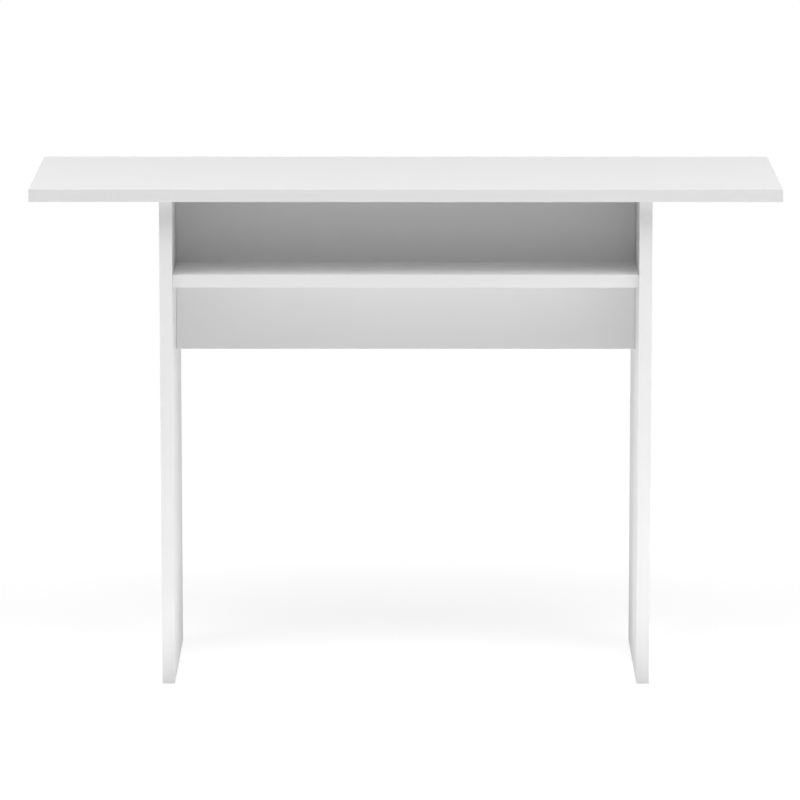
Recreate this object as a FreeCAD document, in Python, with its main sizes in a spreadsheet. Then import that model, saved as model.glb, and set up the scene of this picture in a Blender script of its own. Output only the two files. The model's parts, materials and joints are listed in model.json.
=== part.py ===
import FreeCAD, Part
import os
import Sketcher

# Swivel extending table, in millimetres.
# +Z is up, +X runs along the folded top, the front is -Y, and the floor is Z = 0.
# The origin is on the floor, midway between the side panels and midway in the base's depth.
# The top is two leaves folded face to face.  They turn together on a pivot, and the upper one
# then folds over on butt hinges, so that the open top lies centred on the base.

doc = FreeCAD.newDocument("swivel_extending_table")
sheet = doc.addObject("Spreadsheet::Sheet", "sizes")

driving_sizes = {
    # folded top
    "top_length": 1120,
    "top_depth": 370,
    "table_height": 760,
    "leaf_thickness": 9.4,
    "leaf_gap": 0.2,
    # base
    "base_length": 736,
    "base_depth": 306,
    "side_board": 19,
    "centre_board": 19,
    "shelf_board": 19,
    "pivot_board": 19,
    "centre_panel_height": 249,
    "shelf_rise": 114.8,
    "shelf_setback": 14,
    "pivot_board_setback": 14,
    "band_thickness": 0.8,
    "slide_gap": 1.5,
    # glides under the side panels
    "glide_height": 2,
    "glide_radius": 8,
    "glide_inset": 25,
    "nail_radius": 1.1,
    "nail_head_radius": 2.5,
    "nail_head_height": 0.8,
    "nail_web": 0.5,
    "nail_length": 17,
    # slide pads on the base's top edges
    "pad_radius": 6,
    "pad_stem_radius": 2.5,
    "pad_stem_length": 10,
    "side_pad_inset": 18,
    # dowels
    "dowel_radius": 4,
    "dowel_in_face": 10,
    "dowel_in_edge": 23,
    "end_dowel_spread": 40,
    "centre_dowel_offset": 35,
    "shelf_dowel_inset": 224,
    "pivot_board_outer_dowel_inset": 69,
    "pivot_board_inner_dowel_inset": 219,
    # cam fittings
    "cam_radius": 7.5,
    "cam_reach": 4.5,
    "cam_cover": 1.5,
    "cam_setback": 34,
    "cam_slot_width": 1.6,
    "cam_slot_depth": 1,
    "cam_slot_end": 3,
    "centre_cam_inset": 40,
    "pivot_board_cam_inset": 129,
    "cam_bolt_thread_radius": 2.9,
    "cam_bolt_thread_length": 11,
    "cam_bolt_collar_radius": 3.6,
    "cam_bolt_collar_length": 1.5,
    "cam_bolt_shank_radius": 2.5,
    "cam_bolt_neck_radius": 1.7,
    "cam_bolt_neck_length": 3,
    "cam_bolt_head_step": 0.5,
    "cam_bolt_head_length": 3,
    "cap_overlap": 1,
    "cap_rim": 0.8,
    "cap_spigot_clearance": 0.3,
    "cap_spigot_length": 1.2,
    # confirmat screws through the centre panel into the shelf
    "confirmat_inset": 99,
    "confirmat_head_radius": 5,
    "confirmat_head_length": 2.5,
    "confirmat_shank_radius": 3.4,
    "confirmat_thread_radius": 2.6,
    "confirmat_length": 50,
    "screw_cap_overlap": 1.5,
    "screw_cap_height": 1,
    # pivot
    "stud_radius": 5,
    "stud_tail": 2,
    "flange_radius": 35,
    "flange_thickness": 2,
    "flange_screw_inset": 9,
    "flange_screw_head_radius": 3.5,
    "flange_screw_radius": 1.8,
    "bush_running_clearance": 0.05,
    "bush_wall": 1.95,
    "bush_flange_radius": 15,
    "thrust_washer_radius": 15,
    "thrust_washer_height": 1.5,
    "steel_washer_radius": 10.5,
    "steel_washer_height": 2,
    "spring_washer_radius": 8.6,
    "spring_washer_height": 2.2,
    "nut_across_flats": 17,
    "nut_height": 9,
    "nut_collar_height": 2.5,
    "nut_collar_step": 0.5,
    "running_gap": 0.2,
    # swivel stop
    "stop_offset": 13,
    "peg_radius": 3,
    "peg_reach": 8,
    "slot_clearance": 0.3,
    "slot_floor_gap": 1,
    # leaf hinges
    "hinge_edge_gap": 0.2,
    "outer_hinge_inset": 70,
    "inner_hinge_spread": 165,
    "hinge_length": 50,
    "hinge_reach": 24,
    "hinge_plate": 1.6,
    "knuckle_radius": 2.5,
    "knuckle_clearance": 0.3,
    "knuckle_side_gap": 0.2,
    "pin_radius": 1.25,
    "pin_head_gap": 0.5,
    "hinge_screw_end_inset": 8,
    "hinge_screw_near_inset": 6.2,
    "hinge_screw_far_inset": 7,
    "hinge_screw_head_radius": 2.6,
    "hinge_screw_radius": 1.4,
    # what is left of a leaf over a screw's tip, and of a plate under a screw's head
    "leaf_skin": 2.4,
    "screw_land": 0.3,
    # shared clearance of a fastener or insert in its hole
    "seat_clearance": 0.05,
    "hole_tip": 0.5,
}
for row, (alias, number) in enumerate(driving_sizes.items(), start=1):
    sheet.set(f"A{row}", alias)
    sheet.set(f"B{row}", str(number))
    sheet.setAlias(f"B{row}", alias)
doc.recompute()


# ---- Places worked out from the driving sizes, as expressions of the sheet ----

half_base = "sizes.base_length / 2"
inner_x = "(sizes.base_length / 2 - sizes.side_board)"
side_middle = "(sizes.base_length / 2 - sizes.side_board / 2)"
base_front = "(-sizes.base_depth / 2)"
base_rear = "(sizes.base_depth / 2)"
centre_front = "(-sizes.centre_board / 2)"
centre_rear = "(sizes.centre_board / 2)"

upper_leaf_under = "(sizes.table_height - sizes.leaf_thickness)"
lower_leaf_top = f"({upper_leaf_under} - sizes.leaf_gap)"
lower_leaf_under = f"({lower_leaf_top} - sizes.leaf_thickness)"
base_top = f"({lower_leaf_under} - sizes.slide_gap)"
centre_bottom = f"({base_top} - sizes.centre_panel_height)"
shelf_under = f"({centre_bottom} + sizes.shelf_rise)"
shelf_middle = f"({shelf_under} + sizes.shelf_board / 2)"
shelf_front = "(-sizes.base_depth / 2 + sizes.shelf_setback)"
shelf_centre_y = f"(({shelf_front} + {centre_front}) / 2)"
pivot_board_under = f"({base_top} - sizes.pivot_board)"
pivot_board_middle = f"({base_top} - sizes.pivot_board / 2)"
pivot_board_rear = "(sizes.base_depth / 2 - sizes.pivot_board_setback)"
pivot_board_centre_y = f"(({pivot_board_rear} + {centre_rear}) / 2)"

# Sizes that follow from what a piece sits in or passes through.
slide_pad_height = "(sizes.slide_gap - sizes.running_gap)"
leaf_screw_length = "(sizes.leaf_thickness - sizes.leaf_skin)"
stop_radius = "(sizes.flange_radius + sizes.stop_offset)"
flange_screw_circle = "(sizes.flange_radius - sizes.flange_screw_inset)"
flange_screw_head_length = "(sizes.flange_thickness - sizes.screw_land)"
hinge_screw_head_length = "(sizes.hinge_plate - sizes.screw_land)"
hinge_screw_column = "(sizes.hinge_length / 2 - sizes.hinge_screw_end_inset)"
hinge_screw_near_row = "(sizes.knuckle_radius + sizes.knuckle_clearance + sizes.hinge_screw_near_inset)"
hinge_screw_far_row = "(sizes.hinge_reach - sizes.hinge_screw_far_inset)"
nail_sink = "(sizes.glide_height - sizes.nail_head_height - sizes.nail_web)"
cam_bolt_head_radius = "(sizes.cam_bolt_collar_radius - sizes.cam_bolt_head_step)"

# A quarter of the folded top's depth each way puts the hinge line on the base's centre line
# after a quarter turn.
pivot_x = "(sizes.top_depth / 4)"
pivot_y = "(sizes.top_depth / 4)"
hinge_axis_y = "(sizes.top_depth / 2 + sizes.hinge_edge_gap)"
hinge_axis_z = f"({upper_leaf_under} - sizes.leaf_gap / 2)"

AXES = ("x", "y", "z")
PLANES = {"x": "YZ_Plane", "y": "XZ_Plane", "z": "XY_Plane"}
ACROSS = {"x": ("y", "z"), "y": ("x", "z"), "z": ("x", "y")}
NORMAL = {"x": 1, "y": -1, "z": 1}
UPRIGHT = FreeCAD.Rotation()
UPSIDE_DOWN = FreeCAD.Rotation(FreeCAD.Vector(1, 0, 0), 180)
POINTING = {
    "+x": FreeCAD.Rotation(FreeCAD.Vector(0, 1, 0), 90),
    "-x": FreeCAD.Rotation(FreeCAD.Vector(0, 1, 0), -90),
    "+y": FreeCAD.Rotation(FreeCAD.Vector(1, 0, 0), -90),
    "-y": FreeCAD.Rotation(FreeCAD.Vector(1, 0, 0), 90),
    "+z": UPRIGHT,
    "-z": UPSIDE_DOWN,
}

sub_parts = []


def real(expression):
    """The number that an expression of the sheet gives."""
    return float(sheet.evalExpression(expression))


def keep(piece, label):
    """Name a finished sub-part and list it for writing."""
    piece.Label = label
    sub_parts.append(piece)
    return piece


def bind(piece, **expressions):
    """Tie properties of a piece to the sheet; a double underscore stands for a dot."""
    for name, expression in expressions.items():
        piece.setExpression(name.replace("__", "."), expression)


def set_down(piece, x, y, z, rotation=UPRIGHT):
    """Put a piece at a place worked out from the sheet."""
    piece.Placement = FreeCAD.Placement(FreeCAD.Vector(), rotation)
    bind(piece, Placement__Base__x=x, Placement__Base__y=y, Placement__Base__z=z)


# ---- Sketches ----

def new_sketch(body, name, axis, level="0"):
    """A sketch across an axis of its body, at a level along that axis."""
    sketch = body.newObject("Sketcher::SketchObject", name)
    planes = {feature.Role: feature for feature in body.Origin.OriginFeatures}
    sketch.AttachmentSupport = [(planes[PLANES[axis]], "")]
    sketch.MapMode = "FlatFace"
    sketch.setExpression(".AttachmentOffset.Base.z", f"{NORMAL[axis]} * ({level})")
    return sketch


def dimension(sketch, kind, *arguments, expression):
    """A named constraint whose value comes from the sheet."""
    index = sketch.addConstraint(Sketcher.Constraint(kind, *arguments, real(expression)))
    sketch.renameConstraint(index, f"size_{index}")
    sketch.setExpression(f"Constraints.size_{index}", expression)


def pin_point(sketch, edge, across, up):
    """Fix the start or centre of an edge at a place worked out from the sheet."""
    position = 3 if isinstance(sketch.Geometry[edge], Part.Circle) else 1
    if across == "0":
        sketch.addConstraint(Sketcher.Constraint("PointOnObject", edge, position, -2))
    else:
        dimension(sketch, "DistanceX", -1, 1, edge, position, expression=across)
    if up == "0":
        sketch.addConstraint(Sketcher.Constraint("PointOnObject", edge, position, -1))
    else:
        dimension(sketch, "DistanceY", -1, 1, edge, position, expression=up)


def draw_outline(sketch, corners):
    """A closed outline of straight edges through the corners."""
    points = [FreeCAD.Vector(real(across), real(up), 0) for across, up in corners]
    first = len(sketch.Geometry)
    count = len(corners)
    for index in range(count):
        sketch.addGeometry(Part.LineSegment(points[index], points[(index + 1) % count]))
    for index in range(count):
        joined = first + (index + 1) % count
        sketch.addConstraint(Sketcher.Constraint("Coincident", first + index, 2, joined, 1))
    for index, (across, up) in enumerate(corners):
        pin_point(sketch, first + index, across, up)


def draw_rectangle(sketch, low, high):
    """A rectangle between two opposite corners."""
    corners = [(low[0], low[1]), (high[0], low[1]), (high[0], high[1]), (low[0], high[1])]
    draw_outline(sketch, corners)


def draw_circle(sketch, centre, radius):
    """A circle about a centre."""
    middle = FreeCAD.Vector(real(centre[0]), real(centre[1]), 0)
    edge = sketch.addGeometry(Part.Circle(middle, FreeCAD.Vector(0, 0, 1), real(radius)))
    pin_point(sketch, edge, *centre)
    dimension(sketch, "Radius", edge, expression=radius)


# ---- Boards: an outline padded to its thickness, then drilled and recessed ----

def board(label, thickness_axis, low, high):
    """A flat rectangular board between two corners, standing at its low corner."""
    body = doc.addObject("PartDesign::Body", label)
    set_down(body, *low)
    spans = {axis: f"({top}) - ({bottom})" for axis, bottom, top in zip(AXES, low, high)}
    across, up = ACROSS[thickness_axis]
    outline = new_sketch(body, f"{label}_outline", thickness_axis)
    draw_rectangle(outline, ("0", "0"), (spans[across], spans[up]))
    pad = body.newObject("PartDesign::Pad", f"{label}_pad")
    pad.Profile = outline
    pad.Reversed = NORMAL[thickness_axis] < 0
    bind(pad, Length=spans[thickness_axis])
    body.Tip = pad
    doc.recompute()
    return body


def from_corner(body, axis, place):
    """A place in the table's frame, counted from the body's own corner."""
    corner = dict(body.ExpressionEngine)[f".Placement.Base.{axis}"]
    return f"({place}) - ({corner})"


def sink(body, name, direction, face, depth, draw):
    """Cut a sketch into a board from one of its faces, along a direction such as +z."""
    axis = direction[1]
    sketch = new_sketch(body, f"{name}_sketch", axis, from_corner(body, axis, face))
    draw(sketch)
    pocket = body.newObject("PartDesign::Pocket", name)
    pocket.Profile = sketch
    pocket.Reversed = (direction[0] == "+") == (NORMAL[axis] > 0)
    bind(pocket, Length=depth)
    body.Tip = pocket
    doc.recompute()


def drill(body, name, direction, face, centres, radius, depth):
    """Drill a row of like holes into a board; centres are in the table's frame."""
    across, up = ACROSS[direction[1]]

    def draw(sketch):
        for first, second in centres:
            centre = (from_corner(body, across, first), from_corner(body, up, second))
            draw_circle(sketch, centre, radius)

    sink(body, name, direction, face, depth, draw)


def recess(body, name, direction, face, corners, depth):
    """Mill a row of square-cornered recesses; corners are pairs in the table's frame."""
    across, up = ACROSS[direction[1]]

    def draw(sketch):
        for low, high in corners:
            near = (from_corner(body, across, low[0]), from_corner(body, up, low[1]))
            far = (from_corner(body, across, high[0]), from_corner(body, up, high[1]))
            draw_rectangle(sketch, near, far)

    sink(body, name, direction, face, depth, draw)


def group(label, pieces):
    """Like pieces that share one sub-part, as separate solids."""
    compound = doc.addObject("Part::Compound", label)
    compound.Links = pieces
    return keep(compound, label)


def copies(label, pattern_piece, places):
    """Copies of one piece, each at its place and pointing its way."""
    links = []
    for index, (x, y, z, rotation) in enumerate(places, start=1):
        link = doc.addObject("App::Link", f"{label}_{index}")
        link.LinkedObject = pattern_piece
        link.LinkTransform = True
        set_down(link, x, y, z, rotation)
        links.append(link)
    return group(label, links)


def turned(name, profile):
    """A turned piece: a profile of radius and height revolved about the vertical axis."""
    body = doc.addObject("PartDesign::Body", name)
    sketch = new_sketch(body, f"{name}_profile", "y")
    draw_outline(sketch, profile)
    revolution = body.newObject("PartDesign::Revolution", f"{name}_revolution")
    revolution.Profile = sketch
    revolution.ReferenceAxis = (sketch, ["V_Axis"])
    revolution.Angle = 360
    body.Tip = revolution
    doc.recompute()
    return body


def box(name, low, high):
    """A plain block between two corners."""
    block = doc.addObject("Part::Box", name)
    spans = [f"({top}) - ({bottom})" for bottom, top in zip(low, high)]
    bind(block, Length=spans[0], Width=spans[1], Height=spans[2])
    set_down(block, *low)
    return block


def rod(name, radius, length, start, direction="+z"):
    """A round bar from a start point along a direction."""
    cylinder = doc.addObject("Part::Cylinder", name)
    bind(cylinder, Radius=radius, Height=length)
    set_down(cylinder, *start, POINTING[direction])
    return cylinder


def cone(name, radius_low, radius_high, length, start, direction="+z"):
    """A cone from a start point along a direction."""
    taper = doc.addObject("Part::Cone", name)
    bind(taper, Radius1=radius_low, Radius2=radius_high, Height=length)
    set_down(taper, *start, POINTING[direction])
    return taper


def fused(name, pieces):
    """One solid made of several."""
    fusion = doc.addObject("Part::MultiFuse", name)
    fusion.Shapes = pieces
    return fusion


def cut(name, solid, tools):
    """A solid with tools taken out of it."""
    result = doc.addObject("Part::Cut", name)
    result.Base = solid
    result.Tool = fused(f"{name}_tools", tools) if len(tools) > 1 else tools[0]
    return result


def both(place):
    """A place and its mirror image."""
    return (f"(-{place})", place)


# ---- Where the fasteners go, shared by the boards and by the fasteners ----

pad_y = "(sizes.base_depth / 2 - sizes.side_pad_inset)"
glide_y = "(sizes.base_depth / 2 - sizes.glide_inset)"
side_pads = [(x, y) for x in both(side_middle) for y in both(pad_y)]
glides = [(x, y) for x in both(side_middle) for y in both(glide_y)]

centre_cam_levels = (
    f"({centre_bottom} + sizes.centre_cam_inset)",
    f"({base_top} - sizes.centre_cam_inset)",
)
centre_dowel_levels = (
    f"({centre_cam_levels[0]} + sizes.centre_dowel_offset)",
    f"({centre_cam_levels[1]} - sizes.centre_dowel_offset)",
)
shelf_dowel_rows = (
    f"({shelf_centre_y} - sizes.end_dowel_spread)",
    f"({shelf_centre_y} + sizes.end_dowel_spread)",
)
pivot_board_dowel_rows = (
    f"({pivot_board_centre_y} - sizes.end_dowel_spread)",
    f"({pivot_board_centre_y} + sizes.end_dowel_spread)",
)
cam_x = f"({inner_x} - sizes.cam_setback)"
pivot_board_cam_y = f"({centre_rear} + sizes.cam_setback)"
shelf_dowel_columns = both(f"({inner_x} - sizes.shelf_dowel_inset)")
confirmat_columns = both(f"({inner_x} - sizes.confirmat_inset)") + ("0",)
outer_dowel_column = f"({inner_x} - sizes.pivot_board_outer_dowel_inset)"
inner_dowel_column = f"({inner_x} - sizes.pivot_board_inner_dowel_inset)"
pivot_board_dowel_columns = both(outer_dowel_column) + both(inner_dowel_column)
front_cam_column = f"({inner_x} - sizes.pivot_board_cam_inset)"
pivot_board_cam_columns = both(front_cam_column)
# The centre panel's pads stand midway between the pivot board's dowels and cam bolts.
centre_pad_column = f"(({outer_dowel_column} + {front_cam_column}) / 2)"
centre_pads = [(x, "0") for x in both(centre_pad_column) + ("0",)]

dowel_hole = "sizes.dowel_radius + sizes.seat_clearance"
dowel_face_depth = "sizes.dowel_in_face + sizes.hole_tip"
dowel_edge_depth = "sizes.dowel_in_edge + sizes.hole_tip"
cam_hole = "sizes.cam_radius + sizes.seat_clearance"
centre_cam_depth = "(sizes.centre_board / 2 + sizes.cam_reach)"
shelf_cam_depth = "(sizes.shelf_board / 2 + sizes.cam_reach)"
pivot_board_cam_depth = "(sizes.pivot_board / 2 + sizes.cam_reach)"
cam_bolt_bore = "sizes.cam_bolt_collar_radius + sizes.seat_clearance"
cam_thread_hole = "sizes.cam_bolt_thread_radius + sizes.seat_clearance"
cam_thread_depth = "sizes.cam_bolt_thread_length + sizes.hole_tip"
pad_hole = "sizes.pad_stem_radius + sizes.seat_clearance"
pad_hole_depth = "sizes.pad_stem_length + sizes.hole_tip"
nail_hole = "sizes.nail_radius + sizes.seat_clearance"


# ---- Side panels: the table's two legs ----

for side, sign in (("left", "-"), ("right", "+")):
    outer_face = f"({sign}{half_base})"
    inner_face = f"({sign}{inner_x})"
    low_x, high_x = (outer_face, inner_face) if side == "left" else (inner_face, outer_face)
    outwards = f"{sign}x"
    panel_x = f"({sign}{side_middle})"
    panel = board(
        f"side_panel_{side}",
        "x",
        (low_x, f"{base_front} + sizes.band_thickness", "sizes.glide_height"),
        (high_x, f"{base_rear} - sizes.band_thickness", f"{base_top} - sizes.band_thickness"),
    )
    drill(
        panel, f"{side}_centre_dowel_holes", outwards, inner_face,
        [("0", level) for level in centre_dowel_levels], dowel_hole, dowel_face_depth,
    )
    drill(
        panel, f"{side}_shelf_dowel_holes", outwards, inner_face,
        [(y, shelf_middle) for y in shelf_dowel_rows], dowel_hole, dowel_face_depth,
    )
    drill(
        panel, f"{side}_pivot_board_dowel_holes", outwards, inner_face,
        [(y, pivot_board_middle) for y in pivot_board_dowel_rows], dowel_hole, dowel_face_depth,
    )
    cam_points = [("0", level) for level in centre_cam_levels]
    cam_points.append((shelf_centre_y, shelf_middle))
    cam_points.append((pivot_board_centre_y, pivot_board_middle))
    drill(
        panel, f"{side}_cam_bolt_holes", outwards, inner_face,
        cam_points, cam_thread_hole, cam_thread_depth,
    )
    drill(
        panel, f"{side}_pad_holes", "-z", f"{base_top} - sizes.band_thickness",
        [(panel_x, y) for y in both(pad_y)], pad_hole, f"{pad_hole_depth} - sizes.band_thickness",
    )
    drill(
        panel, f"{side}_nail_holes", "+z", "sizes.glide_height",
        [(panel_x, y) for y in both(glide_y)], nail_hole, "sizes.nail_length",
    )
    keep(panel, f"side_panel_{side}")

    front_band = board(
        f"{side}_front_band", "y",
        (low_x, base_front, "sizes.glide_height"),
        (high_x, f"{base_front} + sizes.band_thickness", base_top),
    )
    rear_band = board(
        f"{side}_rear_band", "y",
        (low_x, f"{base_rear} - sizes.band_thickness", "sizes.glide_height"),
        (high_x, base_rear, base_top),
    )
    top_band = board(
        f"{side}_top_band", "z",
        (low_x, f"{base_front} + sizes.band_thickness", f"{base_top} - sizes.band_thickness"),
        (high_x, f"{base_rear} - sizes.band_thickness", base_top),
    )
    drill(
        top_band, f"{side}_top_band_holes", "-z", base_top,
        [(panel_x, y) for y in both(pad_y)], pad_hole, "sizes.band_thickness",
    )
    group(f"side_panel_{side}_edge_bands", [front_band, rear_band, top_band])


# ---- Centre panel: stands on edge between the side panels ----

centre_panel = board(
    "centre_panel", "y",
    (f"(-{inner_x})", centre_front, f"{centre_bottom} + sizes.band_thickness"),
    (inner_x, centre_rear, f"{base_top} - sizes.band_thickness"),
)
for direction, end in (("+x", f"(-{inner_x})"), ("-x", inner_x)):
    side = "left" if direction == "+x" else "right"
    drill(
        centre_panel, f"centre_{side}_dowel_holes", direction, end,
        [("0", level) for level in centre_dowel_levels], dowel_hole, dowel_edge_depth,
    )
    drill(
        centre_panel, f"centre_{side}_cam_bolt_bores", direction, end,
        [("0", level) for level in centre_cam_levels], cam_bolt_bore, "sizes.cam_setback",
    )
drill(
    centre_panel, "centre_cam_holes", "-y", centre_rear,
    [(x, level) for x in both(cam_x) for level in centre_cam_levels], cam_hole, centre_cam_depth,
)
drill(
    centre_panel, "centre_shelf_dowel_holes", "+y", centre_front,
    [(x, shelf_middle) for x in shelf_dowel_columns], dowel_hole, dowel_face_depth,
)
drill(
    centre_panel, "centre_pivot_board_dowel_holes", "-y", centre_rear,
    [(x, pivot_board_middle) for x in pivot_board_dowel_columns], dowel_hole, dowel_face_depth,
)
drill(
    centre_panel, "centre_pivot_board_cam_bolt_holes", "-y", centre_rear,
    [(x, pivot_board_middle) for x in pivot_board_cam_columns], cam_thread_hole, cam_thread_depth,
)
confirmat_points = [(x, shelf_middle) for x in confirmat_columns]
drill(
    centre_panel, "confirmat_shank_holes", "-y", centre_rear, confirmat_points,
    "sizes.confirmat_shank_radius + sizes.seat_clearance", "sizes.centre_board",
)
drill(
    centre_panel, "confirmat_head_seats", "-y", centre_rear, confirmat_points,
    "sizes.confirmat_head_radius + sizes.seat_clearance", "sizes.confirmat_head_length",
)
drill(
    centre_panel, "centre_pad_holes", "-z", f"{base_top} - sizes.band_thickness",
    centre_pads, pad_hole, f"{pad_hole_depth} - sizes.band_thickness",
)
keep(centre_panel, "centre_panel")

centre_bottom_band = board(
    "centre_bottom_band", "z",
    (f"(-{inner_x})", centre_front, centre_bottom),
    (inner_x, centre_rear, f"{centre_bottom} + sizes.band_thickness"),
)
centre_top_band = board(
    "centre_top_band", "z",
    (f"(-{inner_x})", centre_front, f"{base_top} - sizes.band_thickness"),
    (inner_x, centre_rear, base_top),
)
drill(
    centre_top_band, "centre_top_band_holes", "-z", base_top,
    centre_pads, pad_hole, "sizes.band_thickness",
)
group("centre_panel_edge_bands", [centre_bottom_band, centre_top_band])


# ---- Front shelf and pivot board: two narrow boards along the centre panel ----

def end_fittings(body, name, level, rows, cam_row, under, cam_depth):
    """Dowel holes, cam bolt bores and cam holes at both ends of a lying board."""
    for direction, end in (("+x", f"(-{inner_x})"), ("-x", inner_x)):
        side = "left" if direction == "+x" else "right"
        drill(
            body, f"{name}_{side}_dowel_holes", direction, end,
            [(y, level) for y in rows], dowel_hole, dowel_edge_depth,
        )
        drill(
            body, f"{name}_{side}_cam_bolt_bore", direction, end,
            [(cam_row, level)], cam_bolt_bore, "sizes.cam_setback",
        )
    drill(
        body, f"{name}_end_cam_holes", "+z", under,
        [(x, cam_row) for x in both(cam_x)], cam_hole, cam_depth,
    )


front_shelf = board(
    "front_shelf", "z",
    (f"(-{inner_x})", f"{shelf_front} + sizes.band_thickness", shelf_under),
    (inner_x, centre_front, f"{shelf_under} + sizes.shelf_board"),
)
end_fittings(
    front_shelf, "shelf", shelf_middle, shelf_dowel_rows,
    shelf_centre_y, shelf_under, shelf_cam_depth,
)
drill(
    front_shelf, "shelf_rear_dowel_holes", "-y", centre_front,
    [(x, shelf_middle) for x in shelf_dowel_columns], dowel_hole, dowel_edge_depth,
)
confirmat_hole_depth = "sizes.confirmat_length - sizes.centre_board + sizes.hole_tip"
drill(
    front_shelf, "confirmat_thread_holes", "-y", centre_front, confirmat_points,
    "sizes.confirmat_thread_radius + sizes.seat_clearance", confirmat_hole_depth,
)
keep(front_shelf, "front_shelf")

shelf_band = board(
    "shelf_band", "y",
    (f"(-{inner_x})", shelf_front, shelf_under),
    (inner_x, f"{shelf_front} + sizes.band_thickness", f"{shelf_under} + sizes.shelf_board"),
)
keep(shelf_band, "front_shelf_edge_band")

pivot_board = board(
    "pivot_board", "z",
    (f"(-{inner_x})", centre_rear, pivot_board_under),
    (inner_x, f"{pivot_board_rear} - sizes.band_thickness", base_top),
)
end_fittings(
    pivot_board, "pivot_board", pivot_board_middle, pivot_board_dowel_rows,
    pivot_board_centre_y, pivot_board_under, pivot_board_cam_depth,
)
drill(
    pivot_board, "pivot_board_front_dowel_holes", "+y", centre_rear,
    [(x, pivot_board_middle) for x in pivot_board_dowel_columns], dowel_hole, dowel_edge_depth,
)
drill(
    pivot_board, "pivot_board_front_cam_bolt_bores", "+y", centre_rear,
    [(x, pivot_board_middle) for x in pivot_board_cam_columns], cam_bolt_bore, "sizes.cam_setback",
)
drill(
    pivot_board, "pivot_board_front_cam_holes", "+z", pivot_board_under,
    [(x, pivot_board_cam_y) for x in pivot_board_cam_columns], cam_hole, pivot_board_cam_depth,
)
bush_outer = "sizes.stud_radius + sizes.bush_running_clearance + sizes.bush_wall"
drill(
    pivot_board, "bush_hole", "-z", base_top, [(pivot_x, pivot_y)],
    f"{bush_outer} + sizes.seat_clearance", "sizes.pivot_board",
)

# The stop slot: a round hole at each end of the quarter turn, joined by a groove that is
# revolved about the pivot.
slot_half_width = "sizes.peg_radius + sizes.slot_clearance"
slot_depth = "sizes.peg_reach - sizes.slide_gap + sizes.slot_floor_gap"
drill(
    pivot_board, "stop_slot_ends", "-z", base_top,
    [(f"{pivot_x} - {stop_radius}", pivot_y), (pivot_x, f"{pivot_y} - {stop_radius}")],
    slot_half_width, slot_depth,
)
slot_sketch = new_sketch(pivot_board, "stop_slot_profile", "y", from_corner(pivot_board, "y", pivot_y))
slot_sketch.setExpression(".AttachmentOffset.Base.x", from_corner(pivot_board, "x", pivot_x))
draw_rectangle(
    slot_sketch,
    (f"-{stop_radius} - ({slot_half_width})", f"sizes.pivot_board - ({slot_depth})"),
    (f"-{stop_radius} + {slot_half_width}", "sizes.pivot_board"),
)
slot_groove = pivot_board.newObject("PartDesign::Groove", "stop_slot")
slot_groove.Profile = slot_sketch
slot_groove.ReferenceAxis = (slot_sketch, ["V_Axis"])
slot_groove.Angle = 90
pivot_board.Tip = slot_groove
doc.recompute()
keep(pivot_board, "pivot_board")

pivot_board_band = board(
    "pivot_board_band", "y",
    (f"(-{inner_x})", f"{pivot_board_rear} - sizes.band_thickness", pivot_board_under),
    (inner_x, pivot_board_rear, base_top),
)
keep(pivot_board_band, "pivot_board_edge_band")


# ---- Dowels: a grooved beech pin, part in a board's face and part in another's edge ----

dowel = rod("dowel", "sizes.dowel_radius", "sizes.dowel_in_face + sizes.dowel_in_edge",
            ("0", "0", "-sizes.dowel_in_face"))


def at_both_ends(rows):
    """Places on both side panels' inner faces, pointing into the board between them."""
    places = [(f"(-{inner_x})", y, z, POINTING["+x"]) for y, z in rows]
    places += [(inner_x, y, z, POINTING["-x"]) for y, z in rows]
    return places


copies("centre_panel_dowels", dowel, at_both_ends([("0", level) for level in centre_dowel_levels]))
shelf_dowel_places = at_both_ends([(y, shelf_middle) for y in shelf_dowel_rows])
shelf_dowel_places += [(x, centre_front, shelf_middle, POINTING["-y"]) for x in shelf_dowel_columns]
copies("shelf_dowels", dowel, shelf_dowel_places)
pivot_board_dowel_places = at_both_ends([(y, pivot_board_middle) for y in pivot_board_dowel_rows])
pivot_board_dowel_places += [
    (x, centre_rear, pivot_board_middle, POINTING["+y"]) for x in pivot_board_dowel_columns
]
copies("pivot_board_dowels", dowel, pivot_board_dowel_places)


# ---- Cam fittings: a bolt screwed into one board, gripped by a cam nut in the other ----

cam_bolt_head_start = "(sizes.cam_setback - sizes.cam_bolt_head_length / 2)"
cam_bolt_neck_start = f"({cam_bolt_head_start} - sizes.cam_bolt_neck_length)"
cam_bolt_end = "(sizes.cam_setback + sizes.cam_bolt_head_length / 2)"
cam_bolt = turned("cam_bolt", [
    ("0", "-sizes.cam_bolt_thread_length"),
    ("sizes.cam_bolt_thread_radius", "-sizes.cam_bolt_thread_length"),
    ("sizes.cam_bolt_thread_radius", "0"),
    ("sizes.cam_bolt_collar_radius", "0"),
    ("sizes.cam_bolt_collar_radius", "sizes.cam_bolt_collar_length"),
    ("sizes.cam_bolt_shank_radius", "sizes.cam_bolt_collar_length"),
    ("sizes.cam_bolt_shank_radius", cam_bolt_neck_start),
    ("sizes.cam_bolt_neck_radius", cam_bolt_neck_start),
    ("sizes.cam_bolt_neck_radius", cam_bolt_head_start),
    (cam_bolt_head_radius, cam_bolt_head_start),
    (cam_bolt_head_radius, cam_bolt_end),
    ("0", cam_bolt_end),
])


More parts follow.
